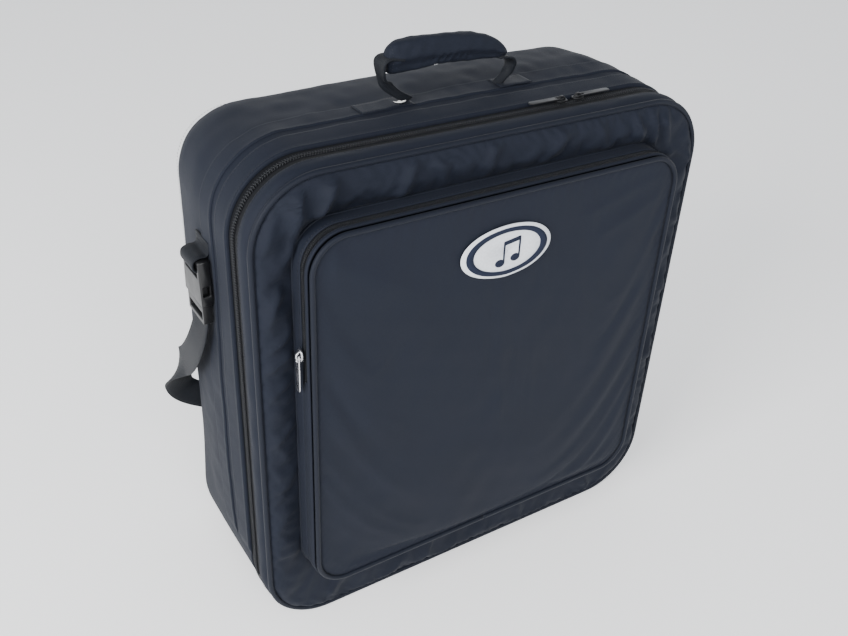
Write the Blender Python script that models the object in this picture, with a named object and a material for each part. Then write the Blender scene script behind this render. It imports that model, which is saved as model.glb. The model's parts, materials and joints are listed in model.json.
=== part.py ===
"""Padded gig bag: soft case with a zipped lid, a zipped lid pocket, a carry handle and a shoulder strap.

Metres, +Z up.  The origin is the centre of the flat base, -Y is the lid side, +X is the right-hand
side seen from the lid.  Every outline that runs round the bag is a rounded rectangle in the XZ plane,
and `inset` is the distance inwards from the bag's outer skin.
"""
import math

import bmesh
import bpy
from mathutils import Matrix, Vector

for old in list(bpy.data.objects):
    bpy.data.objects.remove(old, do_unlink=True)

# ---- driving dimensions -------------------------------------------------------------------------
WIDTH = 0.494            # outer skin, left to right
HEIGHT = 0.508           # base to top skin
DEPTH = 0.200            # lid skin to back skin
CORNER = 0.068           # corner radius of the outer skin, seen from the lid
ZIP_BEHIND_LID = 0.030   # lid skin to the middle of the main zip
STORM_FLAP_Y = (-0.061, -0.036)   # strip sewn behind the main zip, front to back
TRIM_Y = (-0.026, 0.000)          # trim band round the gusset, front to back
HINGE_Z = 0.035          # the lid folds along the line between the two ends of the main zip

POCKET_LEFT = -0.208     # outline of the pocket, seen from the lid
POCKET_RIGHT = 0.196
POCKET_BOTTOM = 0.068
POCKET_TOP = 0.465
POCKET_CORNER = 0.036
POCKET_PROUD = 0.032     # pocket front above the lid skin
POCKET_FOLD_Z = 0.320    # the pocket flap folds along the line between the pocket zip's ends

HANDLE_Y = -0.015        # the handle's roots, front to back
HANDLE_ROOT = 0.053      # centre of the bag to each handle root
GRIP_LENGTH = 0.132
GRIP_Z = 0.557           # middle of the grip
GRIP_THICK = 0.020
GRIP_HIGH = 0.025

STRAP_WIDTH = 0.032
STRAP_THICK = 0.0022
BUCKLE_X = 0.2565        # centre of the bag to the middle of each side buckle
BUCKLE_Y = -0.002        # the side buckles' middle, front to back
TAB_Z = 0.398            # the bar that each side buckle hangs from
STRAP_BEHIND = 0.0135    # back skin to the middle of the shoulder strap
STRAP_LOW_Z = 0.128      # middle of the strap where it crosses the back
STRAP_TURN_Y = 0.060     # behind this the strap turns to face backwards

# ---- cloth thicknesses and gaps -----------------------------------------------------------------
GAP = 0.0003
SKIN = 0.0012
FOAM = 0.0080
LINING = 0.0008
TAPE = 0.0008
BAND = 0.0010            # trim sewn to the outside of the skin
PIPING = 0.0028          # radius
TAPE_HALF = 0.0100       # the main zip's middle line to the edge of its tape
COIL_HALF = 0.0035
POCKET_TAPE_HALF = 0.0044
POCKET_COIL_HALF = 0.0026
POCKET_WALL = 0.0030     # thickness of the pocket's padded cloth
CORNER_STEPS = 6

FRONT = -DEPTH / 2
BACK = DEPTH / 2
ZIP_Y = FRONT + ZIP_BEHIND_LID
FOAM_OUT = SKIN + GAP
FOAM_IN = FOAM_OUT + FOAM
LINING_OUT = FOAM_IN + GAP
LINING_IN = LINING_OUT + LINING
EDGE = 0.0030            # inset of the lid's piped edge
REAR_INSET = 0.0195      # inset of the back's piped edge: the gusset turns in to meet it
PANEL_EDGE = EDGE + PIPING + GAP
BAND_LOW_Z = CORNER + 0.010   # the sewn bands end here
POCKET_FRONT = FRONT - POCKET_PROUD
POCKET_ZIP_Y = FRONT - 0.0185
REAR_PANEL_EDGE = REAR_INSET + PIPING + 0.0008

BAG = (-WIDTH / 2, WIDTH / 2, 0.0, HEIGHT, CORNER)
POCKET = (POCKET_LEFT, POCKET_RIGHT, POCKET_BOTTOM, POCKET_TOP, POCKET_CORNER)

COLOURS = {              # linear base colour, roughness, metallic
    "shell": ((0.030, 0.036, 0.048), 0.85, 0.0),
    "trim": ((0.022, 0.026, 0.034), 0.80, 0.0),
    "foam": ((0.110, 0.110, 0.115), 0.95, 0.0),
    "lining": ((0.050, 0.052, 0.060), 0.75, 0.0),
    "tape": ((0.012, 0.014, 0.018), 0.80, 0.0),
    "coil": ((0.020, 0.021, 0.024), 0.35, 0.0),
    "webbing": ((0.024, 0.027, 0.034), 0.75, 0.0),
    "buckle": ((0.010, 0.010, 0.011), 0.35, 0.0),
    "metal": ((0.720, 0.720, 0.730), 0.25, 1.0),
    "badge": ((0.780, 0.790, 0.820), 0.60, 0.0),
    "tag": ((0.800, 0.800, 0.780), 0.70, 0.0),
}


# ---- outlines -----------------------------------------------------------------------------------
def arc(centre_x, centre_z, radius, start, stop, steps=CORNER_STEPS):
    """Points on a circle from angle `start` to `stop`, in degrees."""
    points = []
    for step in range(steps + 1):
        angle = math.radians(start + (stop - start) * step / steps)
        points.append((centre_x + radius * math.cos(angle), centre_z + radius * math.sin(angle)))
    return points


def mirrored(half, box):
    """A left half-run followed by its mirror image about the middle of the box."""
    return half + [(box[0] + box[1] - x, z) for x, z in reversed(half)]


def loop(box, inset):
    """Whole rounded rectangle, clockwise from the bottom of the left side."""
    left, _, bottom, top, radius = box
    small = radius - inset
    half = arc(left + radius, bottom + radius, small, 270, 180)
    half += arc(left + radius, top - radius, small, 180, 90)
    return mirrored(half, box)


def leg_angle(box, cut_z):
    """How far round the bottom corner, below its side, a cut at this height lies."""
    return math.degrees(math.asin((box[2] + box[4] - cut_z) / box[4]))


def upper_run(box, inset, cut_z):
    """The part of the rounded rectangle above a cut: left leg, top, right leg."""
    left, _, bottom, top, radius = box
    small = radius - inset
    if cut_z < bottom + radius:
        half = arc(left + radius, bottom + radius, small, 180 + leg_angle(box, cut_z), 180, 3)
    else:
        half = [(left + inset, cut_z)]
    half += arc(left + radius, top - radius, small, 180, 90)
    return mirrored(half, box)


def lower_run(box, inset, cut_z):
    """The part of the rounded rectangle below a cut: left leg, bottom, right leg."""
    left, _, bottom, _, radius = box
    small = radius - inset
    if cut_z < bottom + radius:
        half = arc(left + radius, bottom + radius, small, 180 + leg_angle(box, cut_z), 270)
    else:
        half = [(left + inset, cut_z)] + arc(left + radius, bottom + radius, small, 180, 270)
    return mirrored(half, box)


# ---- solids -------------------------------------------------------------------------------------
def material(slot):
    """The slot's Principled material, made once."""
    found = bpy.data.materials.get(slot)
    if found:
        return found
    colour, roughness, metallic = COLOURS[slot]
    made = bpy.data.materials.new(slot)
    made.use_nodes = True
    shader = made.node_tree.nodes["Principled BSDF"]
    shader.inputs["Base Color"].default_value = (*colour, 1.0)
    shader.inputs["Roughness"].default_value = roughness
    shader.inputs["Metallic"].default_value = metallic
    made.diffuse_color = (*colour, 1.0)
    return made


def place(name, slot, mesh_data, origin=(0, 0, 0), smooth=False):
    """A finished bmesh as a named object whose origin is at `origin`."""
    bmesh.ops.recalc_face_normals(mesh_data, faces=mesh_data.faces)
    bmesh.ops.translate(mesh_data, verts=mesh_data.verts, vec=-Vector(origin))
    mesh = bpy.data.meshes.new(name)
    mesh_data.to_mesh(mesh)
    mesh_data.free()
    if smooth:
        mesh.shade_smooth()
        mesh.set_sharp_from_angle(angle=math.radians(40))
    item = bpy.data.objects.new(name, mesh)
    item.location = origin
    item.data.materials.append(material(slot))
    bpy.context.scene.collection.objects.link(item)
    return item


def skin_rows(rows, closed):
    """Closed solid through rows of points: row after row round the section, capped when open."""
    shape = bmesh.new()
    grid = [[shape.verts.new(point) for point in row] for row in rows]
    count = len(rows[0])
    for row, following in zip(grid, grid[1:] + grid[:1]):
        for step in range(count if closed else count - 1):
            ahead = (step + 1) % count
            shape.faces.new((row[step], row[ahead], following[ahead], following[step]))
    if not closed:
        for end in (0, -1):
            shape.faces.new([row[end] for row in grid])
    return shape


def sweep(name, slot, run, section, closed=False, origin=(0, 0, 0), smooth=False):
    """Solid that follows an outline. `run(inset)` gives the outline, `section` is (inset, y) pairs."""
    rows = [[(x, y, z) for x, z in run(inset)] for inset, y in section]
    return place(name, slot, skin_rows(rows, closed), origin, smooth)


def flat_section(outer, inner, y_front, y_back):
    return [(outer, y_front), (outer, y_back), (inner, y_back), (inner, y_front)]


def round_section(inset, y, radius, sides=6):
    turns = [2 * math.pi * (side + 0.5) / sides for side in range(sides)]
    return [(inset + radius * math.cos(turn), y + radius * math.sin(turn)) for turn in turns]


def prism(outline, low, high, place_point):
    """Closed outline with thickness: `place_point(a, b, level)` puts each corner in space."""
    shape = bmesh.new()
    near = [shape.verts.new(place_point(a, b, low)) for a, b in outline]
    far = [shape.verts.new(place_point(a, b, high)) for a, b in outline]
    for step in range(len(outline)):
        ahead = (step + 1) % len(outline)
        shape.faces.new((near[step], near[ahead], far[ahead], far[step]))
    shape.faces.new(near)
    shape.faces.new(far)
    return shape


def plate(name, slot, outline, y_front, y_back, origin=(0, 0, 0)):
    """Flat panel: an XZ outline with thickness along Y."""
    shape = prism(outline, y_front, y_back, lambda x, z, y: (x, y, z))
    return place(name, slot, shape, origin)


def block(low, high):
    """Box-shaped bmesh between two corners."""
    shape = bmesh.new()
    bmesh.ops.create_cube(shape, size=1.0)
    size = [b - a for a, b in zip(low, high)]
    middle = [(a + b) / 2 for a, b in zip(low, high)]
    bmesh.ops.scale(shape, verts=shape.verts, vec=size)
    bmesh.ops.translate(shape, verts=shape.verts, vec=middle)
    return shape


def hidden_tool(shape):
    """A mesh that only takes part in a Boolean."""
    item = place("tool", "buckle", shape)
    item.hide_render = True
    item.display_type = 'WIRE'
    return item


def tool_box(low, high):
    return hidden_tool(block(low, high))


def boolean(item, other, operation):
    step = item.modifiers.new(operation, 'BOOLEAN')
    step.operation = operation
    step.object = other
    step.solver = 'EXACT'


def tape_pair(run, origin_front, names, y_middle, half_tape, half_coil):
    """The two halves of a zip: a tape and a coil on each side of the middle line."""
    front_tape, front_coil, rear_tape, rear_coil = names
    near = GAP / 2 + 0.0001
    for sign, tape, coil, origin in ((-1, front_tape, front_coil, origin_front),
                                     (1, rear_tape, rear_coil, (0, 0, 0))):
        inner, outer = y_middle + sign * near, y_middle + sign * half_tape
        sweep(tape, "tape", run, flat_section(0.0, TAPE, min(inner, outer), max(inner, outer)),
              origin=origin)
        outer = y_middle + sign * half_coil
        sweep(coil, "coil", run, flat_section(-0.0013, -GAP, min(inner, outer), max(inner, outer)),
              origin=origin)


# ---- body ---------------------------------------------------------------------------------------
def turned_in(depth):
    """(inset, y) points of the gusset's rear, which turns in to the back, `depth` under its outside."""
    return [(depth, BACK - 0.0360), (0.0050 + 0.93 * depth, BACK - 0.0165 - 0.35 * depth),
            (0.0160 + 0.55 * depth, BACK - 0.0045 - 0.83 * depth)]


def layer_section(outer, inner, front):
    return ([(outer, front)] + turned_in(outer)
            + list(reversed(turned_in(inner))) + [(inner, front)])


def body_shell():
    """Gusset, flat base and back, each of skin, foam and lining."""
    half = WIDTH / 2 - CORNER - GAP
    layers = (("skin", "shell", 0.0, SKIN, ZIP_Y + TAPE_HALF + GAP, FRONT + EDGE + PIPING),
              ("foam", "foam", FOAM_OUT, FOAM_IN, ZIP_Y + 0.0005, FRONT + LINING_IN + GAP),
              ("lining", "lining", LINING_OUT, LINING_IN, ZIP_Y + 0.0005, FRONT + LINING_IN + GAP))
    for layer, slot, outer, inner, gusset_front, base_front in layers:
        sweep("gusset_" + layer, slot, lambda inset: loop(BAG, inset),
              layer_section(outer, inner, gusset_front))
        sweep("base_" + layer, slot, lambda inset: [(-half, inset), (half, inset)],
              layer_section(outer, inner, base_front))

    plate("back_skin", "shell", loop(BAG, REAR_PANEL_EDGE), BACK - SKIN, BACK)
    plate("back_foam", "foam", loop(BAG, REAR_PANEL_EDGE + 0.0020), BACK - FOAM_IN, BACK - FOAM_OUT)
    plate("back_lining", "lining", loop(BAG, REAR_PANEL_EDGE + 0.0030),
          BACK - LINING_IN, BACK - LINING_OUT)
    sweep("rear_piping", "trim", lambda inset: loop(BAG, inset),
          round_section(REAR_INSET, BACK - 0.0012, PIPING), True, smooth=True)


def body_trim():
    """What is sewn to the outside of the gusset, and the fixed half of the main zip."""
    def sides(inset):
        return upper_run(BAG, inset, BAND_LOW_Z)

    proud = (-GAP - BAND, -GAP)
    sweep("trim_band", "trim", sides, flat_section(*proud, *TRIM_Y))
    sweep("storm_flap", "shell", sides, flat_section(*proud, *STORM_FLAP_Y))


def front_skirt():
    """What lies under the lid's fold line and stays with the body: a strip and two corners."""
    cut = HINGE_Z - 0.0008
    front = FRONT + EDGE + PIPING
    back = ZIP_Y + TAPE_HALF
    section = [(EDGE - 0.001, front), (0.0, ZIP_Y), (0.0, back),
               (SKIN, back), (SKIN, ZIP_Y), (EDGE - 0.001 + SKIN, front)]

    def left_corner(inset):
        run = lower_run(BAG, inset, cut)
        return run[:len(run) // 2]

    def right_corner(inset):
        run = lower_run(BAG, inset, cut)
        return run[len(run) // 2:]

    sweep("skirt_corner_left", "shell", left_corner, section)
    sweep("skirt_corner_right", "shell", right_corner, section)
    plate("skirt_panel", "shell", lower_run(BAG, PANEL_EDGE, cut), FRONT, FRONT + FOAM_IN)
    sweep("skirt_piping", "trim", lambda inset: lower_run(BAG, inset, cut),
          round_section(EDGE, FRONT + 0.0005, PIPING), smooth=True)


# ---- lid ----------------------------------------------------------------------------------------
LID_ORIGIN = (0.0, FRONT + 0.0005 - PIPING, HINGE_Z)   # the front of the lid piping


def lid():
    def above(inset):
        return upper_run(BAG, inset, HINGE_Z)

    front = FRONT + EDGE + PIPING
    tape_edge = ZIP_Y - TAPE_HALF - GAP
    sweep("lid_gusset", "shell", above,
          [(EDGE - 0.001, front), (0.0, tape_edge), (SKIN, tape_edge), (EDGE - 0.001 + SKIN, front)],
          origin=LID_ORIGIN)
    sweep("lid_gusset_foam", "foam", above,
          flat_section(FOAM_OUT + 0.002, FOAM_IN, FRONT + LINING_IN + GAP, ZIP_Y - 0.0005),
          origin=LID_ORIGIN)
    sweep("lid_piping", "trim", above, round_section(EDGE, FRONT + 0.0005, PIPING),
          origin=LID_ORIGIN, smooth=True)
    for name, slot, near, far, edge in (
            ("lid_skin", "shell", 0.0, SKIN, PANEL_EDGE),
            ("lid_foam", "foam", FOAM_OUT, FOAM_IN, PANEL_EDGE),
            ("lid_lining", "lining", LINING_OUT, LINING_IN, PANEL_EDGE + 0.001)):
        plate(name, slot, above(edge), FRONT + near, FRONT + far, LID_ORIGIN)
    tape_pair(above, LID_ORIGIN,
              ("zip_tape_lid", "zip_coil_lid", "zip_tape_body", "zip_coil_body"),
              ZIP_Y, TAPE_HALF, COIL_HALF)


# ---- pocket -------------------------------------------------------------------------------------
POCKET_PIPING = 0.0022
FLAP_ORIGIN = (0.0, POCKET_FRONT + 0.0008 - POCKET_PIPING, POCKET_FOLD_Z)


def pocket():
    """A gusset with a zip in it and a front panel whose upper part folds forward."""
    def above(inset):
        return upper_run(POCKET, inset, POCKET_FOLD_Z + 0.0006)

    def below(inset):
        return lower_run(POCKET, inset, POCKET_FOLD_Z - 0.0006)

    rear_strip = (POCKET_ZIP_Y + POCKET_TAPE_HALF + GAP, FRONT - GAP)
    front_strip = (POCKET_FRONT + EDGE + PIPING, POCKET_ZIP_Y - POCKET_TAPE_HALF - GAP)
    piping = round_section(EDGE, POCKET_FRONT + 0.0008, POCKET_PIPING)
    sweep("pocket_rear_gusset", "shell", above, flat_section(0.0, POCKET_WALL, *rear_strip),
          origin=LID_ORIGIN)
    sweep("pocket_lower_gusset", "shell", below,
          flat_section(0.0, POCKET_WALL, front_strip[0], FRONT - GAP), origin=LID_ORIGIN)
    plate("pocket_lower_panel", "shell", below(PANEL_EDGE), POCKET_FRONT,
          POCKET_FRONT + POCKET_WALL, LID_ORIGIN)
    sweep("pocket_lower_piping", "trim", below, piping, origin=LID_ORIGIN, smooth=True)

    sweep("pocket_flap_gusset", "shell", above, flat_section(0.0, POCKET_WALL, *front_strip),
          origin=FLAP_ORIGIN)
    plate("pocket_flap_panel", "shell", above(PANEL_EDGE), POCKET_FRONT,
          POCKET_FRONT + POCKET_WALL, FLAP_ORIGIN)
    sweep("pocket_flap_piping", "trim", above, piping, origin=FLAP_ORIGIN, smooth=True)
    tape_pair(above, FLAP_ORIGIN,
              ("pocket_tape_flap", "pocket_coil_flap", "pocket_tape_lid", "pocket_coil_lid"),
              POCKET_ZIP_Y, POCKET_TAPE_HALF, POCKET_COIL_HALF)
    badge(-0.012, 0.408)


def badge(centre_x, centre_z):
    """Oval woven patch sewn to the flap."""
    wide, high, thick = 0.050, 0.026, 0.0014
    outline = []
    for step in range(28):
        turn = 2 * math.pi * step / 28
        outline.append((centre_x + wide * math.cos(turn), centre_z + high * math.sin(turn)))
    plate("badge", "badge", outline, POCKET_FRONT - GAP - thick, POCKET_FRONT - GAP, FLAP_ORIGIN)


# ---- zip sliders --------------------------------------------------------------------------------
SLIDER_LONG = 0.0130
SLIDER_WIDE = 0.0090
PULLER_LONG = 0.0380
SLIDER_LIFT = 0.0030     # underside of the slider above the tape
SLIDER_PLATE = 0.0018
ARCH_HALF = 0.0048       # the arch that the puller turns in: half length, rise, thickness, width
ARCH_RISE = 0.0046
ARCH_THICK = 0.0013
ARCH_WIDE = 0.0026
PIVOT_HIGH = SLIDER_LIFT + SLIDER_PLATE + 0.0016
PULLER_THICK = 0.0012
PULLER_HALF_WIDE = 0.0034
PULLER_BAR = 0.0008      # the bar under the arch reaches this far to each side of the pivot


def oval(half_long, half_wide, steps=8, shift=0.0):
    """Stadium outline along the first axis."""
    straight = half_long - half_wide
    points = [(shift + straight + half_wide * math.cos(math.radians(a)),
               half_wide * math.sin(math.radians(a)))
              for a in [-90 + 180 * step / steps for step in range(steps + 1)]]
    points += [(shift - straight + half_wide * math.cos(math.radians(a)),
                half_wide * math.sin(math.radians(a)))
               for a in [90 + 180 * step / steps for step in range(steps + 1)]]
    return points


def slider(name, to_world, origin):
    """Slider with its arch. Local axes: along the zip, across it, away from the cloth."""
    top = SLIDER_LIFT + SLIDER_PLATE
    body = prism(oval(SLIDER_LONG / 2, SLIDER_WIDE / 2, 6), SLIDER_LIFT, top,
                 lambda along, across, away: (along, across, away))
    bmesh.ops.transform(body, matrix=to_world, verts=body.verts)
    item = place(name, "metal", body, origin)

    foot = top - 0.0006
    stretch = ARCH_RISE / ARCH_HALF
    profile = arc(0, 0, ARCH_HALF, 0, 180, 8) + arc(0, 0, ARCH_HALF - ARCH_THICK, 180, 0, 8)
    arch = prism([(along, foot + away * stretch) for along, away in profile],
                 -ARCH_WIDE / 2, ARCH_WIDE / 2, lambda along, away, across: (along, across, away))
    bmesh.ops.transform(arch, matrix=to_world, verts=arch.verts)
    boolean(item, hidden_tool(arch), 'UNION')


def tab_outline(near, far, half_wide):
    """Square at the near end, round at the far end."""
    return [(near, -half_wide)] + arc(far - half_wide, 0, half_wide, -90, 90, 8) + [(near, half_wide)]


def puller(name, to_world, origin):
    """Flat pull tab whose eye goes round the slider's arch, lying along the first local axis."""
    outline = tab_outline(-PULLER_BAR, PULLER_LONG, PULLER_HALF_WIDE)
    hole = tab_outline(PULLER_BAR, 0.0070, 0.0018)
    rows = []
    for points, side in ((outline, -1), (outline, 1), (hole, 1), (hole, -1)):
        level = PIVOT_HIGH + side * PULLER_THICK / 2
        rows.append([(along, across, level) for along, across in points])
    shape = skin_rows(rows, True)
    bmesh.ops.transform(shape, matrix=to_world, verts=shape.verts)
    place(name, "metal", shape, origin)


def frame_matrix(at, along, across, away):
    """Local axes (along, across, away) placed at a point."""
    columns = [Vector(along), Vector(across), Vector(away)]
    made = Matrix((columns[0], columns[1], columns[2])).transposed().to_4x4()
    made.translation = Vector(at)
    return made


def zip_sliders():
    for side, sign, middle in (("left", -1, 0.086), ("right", 1, 0.106)):
        at = (middle, ZIP_Y, HEIGHT)
        slider("main_slider_" + side, frame_matrix(at, (sign, 0, 0), (0, sign, 0), (0, 0, 1)), at)
        puller("main_puller_" + side, frame_matrix(at, (sign, 0, 0), (0, sign, 0), (0, 0, 1)),
               (middle, ZIP_Y, HEIGHT + PIVOT_HIGH))
    at = (POCKET_LEFT, POCKET_ZIP_Y, POCKET_FOLD_Z + 0.029)
    slider("pocket_slider", frame_matrix(at, (0, 0, -1), (0, -1, 0), (-1, 0, 0)), at)
    puller("pocket_puller", frame_matrix(at, (0, 0, -1), (0, -1, 0), (-1, 0, 0)),
           (POCKET_LEFT - PIVOT_HIGH, POCKET_ZIP_Y, at[2]))


# ---- handle -------------------------------------------------------------------------------------
HANDLE_AXIS = (0.0, HANDLE_Y, HEIGHT + 0.0045)
GRIP_SIDES = 12


def ribbon(name, slot, path, widths, normals, thick, origin=(0, 0, 0)):
    """Flat webbing along a path, with its face towards each normal."""
    rows = [[], [], [], []]
    for index, point in enumerate(path):
        before = path[max(index - 1, 0)]
        after = path[min(index + 1, len(path) - 1)]
        along = (Vector(after) - Vector(before)).normalized()
        face = Vector(normals[index])
        face = (face - along * face.dot(along)).normalized()
        side = along.cross(face).normalized()
        half = side * widths[index] / 2
        lift = face * thick / 2
        centre = Vector(point)
        for row, corner in zip(rows, (-half - lift, half - lift, half + lift, -half + lift)):
            row.append(tuple(centre + corner))
    return place(name, slot, skin_rows(rows, False), origin)


def handle():
    """Webbing that rises from two roots and runs through a padded grip."""
    end = GRIP_LENGTH / 2
    half_path = [(-HANDLE_ROOT, 0.0012), (-HANDLE_ROOT - 0.004, 0.010), (-HANDLE_ROOT - 0.011, 0.021)]
    half_path += [(-end - 0.010, 0.033), (-end - 0.007, GRIP_Z - HANDLE_AXIS[2])]
    left = [(x, HANDLE_Y, HANDLE_AXIS[2] + z) for x, z in half_path]
    widths = [0.0060, 0.0090, 0.0140, 0.0180, 0.0180]
    facing = [(-1, 0, 0.2), (-1, 0, 0), (-1, 0, -0.1), (-1, 0, 0.4), (-0.7, 0, 1)]
    path = left + [(-end - 0.0015, HANDLE_Y, GRIP_Z), (end + 0.0015, HANDLE_Y, GRIP_Z)]
    path += [(-x, y, z) for x, y, z in reversed(left)]
    widths = widths + [0.0120, 0.0120] + widths[::-1]
    normals = facing + [(0, 0, 1), (0, 0, 1)] + [(-x, y, z) for x, y, z in reversed(facing)]
    ribbon("handle_webbing", "webbing", path, widths, normals, 0.0026, HANDLE_AXIS)

    outer, inner = [], []
    for step in range(GRIP_SIDES):
        turn = 2 * math.pi * (step + 0.5) / GRIP_SIDES
        across, up = math.cos(turn), math.sin(turn)
        outer.append((GRIP_THICK / 2 * across, GRIP_HIGH / 2 * up))
        inner.append((0.0072 * max(-1.0, min(1.0, 1.25 * across)), math.copysign(0.0019, up)))
    rows = []
    for x, scale in ((-end, 0.80), (-end + 0.010, 1.0), (end - 0.010, 1.0), (end, 0.80)):
        rows.append([(x, HANDLE_Y + y * scale, GRIP_Z + z * scale) for y, z in outer])
    for x in (end, -end):
        rows.append([(x, HANDLE_Y + y, GRIP_Z + z) for y, z in inner])
    place("grip_wrap", "shell", skin_rows(rows, True), HANDLE_AXIS, smooth=True)

    top = HEIGHT + BAND + 2 * GAP            # the patches lie on the trim band
    for side, sign in (("left", -1), ("right", 1)):
        near, far = sorted((sign * 0.0600, sign * 0.0980))
        place("handle_anchor_" + side, "webbing",
              block((near, HANDLE_Y - 0.0125, top), (far, HANDLE_Y + 0.0125, top + 0.0024)))
    place("care_tag", "tag", block((-0.0600, HANDLE_Y - 0.0205, top),
                                   (-0.0460, HANDLE_Y - 0.0060, top + 0.0008)))


# ---- shoulder strap -----------------------------------------------------------------------------
STRAP_AXIS = (0.0, BUCKLE_Y, TAB_Z + 0.015)
BUCKLE_WIDE = 0.042
BUCKLE_THICK = 0.0110
FEMALE_LOW = TAB_Z - 0.040
MALE_LOW = FEMALE_LOW - 0.020


def mirror_side(sign, x_low, x_high):
    """The pair of X values on the left (-1) or right (1) side, in rising order."""
    return sorted((sign * x_low, sign * x_high))


def side_box(sign, x_range, y_range, z_range):
    low_x, high_x = mirror_side(sign, *x_range)
    return (low_x, y_range[0], z_range[0]), (high_x, y_range[1], z_range[1])


def buckle(side, sign):
    """Side-release buckle: a hollow female half, and a male half with a guide and two prongs."""
    near, far = BUCKLE_X - BUCKLE_THICK / 2, BUCKLE_X + BUCKLE_THICK / 2
    half = BUCKLE_WIDE / 2
    y_low, y_high = BUCKLE_Y - half, BUCKLE_Y + half
    female = place("buckle_female_" + side, "buckle",
                   block(*side_box(sign, (near, far), (y_low, y_high),
                                   (FEMALE_LOW, TAB_Z + 0.004))), STRAP_AXIS)
    cavity = side_box(sign, (near + 0.0020, far - 0.0020), (y_low + 0.004, y_high - 0.004),
                      (FEMALE_LOW - 0.010, TAB_Z - 0.018))
    windows = side_box(sign, (near + 0.0020, far - 0.0020), (y_low - 0.010, y_high + 0.010),
                       (FEMALE_LOW + 0.010, TAB_Z - 0.020))
    slot = side_box(sign, (near - 0.010, far + 0.010), (y_low + 0.0055, y_high - 0.0055),
                    (TAB_Z - 0.0130, TAB_Z - 0.0030))
    for low, high in (cavity, windows, slot):
        boolean(female, tool_box(low, high), 'DIFFERENCE')

    slim = (near + 0.0026, far - 0.0026)
    male = place("buckle_male_" + side, "buckle",
                 block(*side_box(sign, (near + 0.0010, far - 0.0010), (y_low + 0.002, y_high - 0.002),
                                 (MALE_LOW, FEMALE_LOW - GAP))), STRAP_AXIS)
    root = FEMALE_LOW - 0.004
    for y_range, reach in (((BUCKLE_Y - 0.004, BUCKLE_Y + 0.004), 0.019),
                           ((y_low + 0.0050, y_low + 0.0095), 0.017),
                           ((y_high - 0.0095, y_high - 0.0050), 0.017)):
        arm = tool_box(*side_box(sign, slim, y_range, (root, FEMALE_LOW + reach)))
        boolean(male, arm, 'UNION')
    bar_slot = side_box(sign, (near - 0.010, far + 0.010), (y_low + 0.0055, y_high - 0.0055),
                        (MALE_LOW + 0.0040, MALE_LOW + 0.0120))
    boolean(male, tool_box(*bar_slot), 'DIFFERENCE')


def side_tab(side, sign):
    """Webbing tab that hangs from its sewn root, folded through the female half's slot."""
    skin = WIDTH / 2 + BAND + 2 * GAP
    half = STRAP_WIDTH / 2 - 0.001
    tab = place("strap_tab_" + side, "webbing",
                block(*side_box(sign, (skin, skin + 0.0011), (BUCKLE_Y - half, BUCKLE_Y + half),
                                (TAB_Z - 0.004, TAB_Z + 0.022))), STRAP_AXIS)
    loop_part = tool_box(*side_box(sign, (skin + 0.0005, BUCKLE_X + 0.0075),
                                     (BUCKLE_Y - half, BUCKLE_Y + half),
                                     (TAB_Z + 0.0043, TAB_Z + 0.0065)))
    front_part = tool_box(*side_box(sign, (BUCKLE_X + 0.0058, BUCKLE_X + 0.0078),
                                      (BUCKLE_Y - half, BUCKLE_Y + half),
                                      (TAB_Z - 0.0060, TAB_Z + 0.0060)))
    boolean(tab, loop_part, 'UNION')
    boolean(tab, front_part, 'UNION')


def smooth_path(points, count):
    """Catmull-Rom curve through hand-set points."""
    padded = [points[0]] + points + [points[-1]]
    spans = len(points) - 1
    made = []
    for index in range(count + 1):
        at = index / count * spans
        span = min(int(at), spans - 1)
        t = at - span
        a, b, c, d = (Vector(padded[span + k]) for k in range(4))
        made.append(0.5 * ((2 * b) + (c - a) * t + (2 * a - 5 * b + 4 * c - d) * t ** 2
                           + (3 * b - a - 3 * c + d) * t ** 3))
    return made


STRAP_Y = BACK + STRAP_BEHIND
STRAP_ROUTE = [          # left buckle to the middle of the back
    (-BUCKLE_X, BUCKLE_Y, MALE_LOW - 0.0035),
    (-BUCKLE_X - 0.003, BUCKLE_Y + 0.004, MALE_LOW - 0.022),
    (-BUCKLE_X - 0.005, BUCKLE_Y + 0.018, MALE_LOW - 0.048),
    (-BUCKLE_X - 0.004, BUCKLE_Y + 0.046, MALE_LOW - 0.078),
    (-BUCKLE_X - 0.002, BUCKLE_Y + 0.084, MALE_LOW - 0.110),
    (-BUCKLE_X + 0.007, STRAP_Y, STRAP_LOW_Z + 0.048),
    (-BUCKLE_X + 0.038, STRAP_Y, STRAP_LOW_Z + 0.024),
    (-0.170, STRAP_Y, STRAP_LOW_Z + 0.006),
    (-0.120, STRAP_Y, STRAP_LOW_Z),
]


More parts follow.
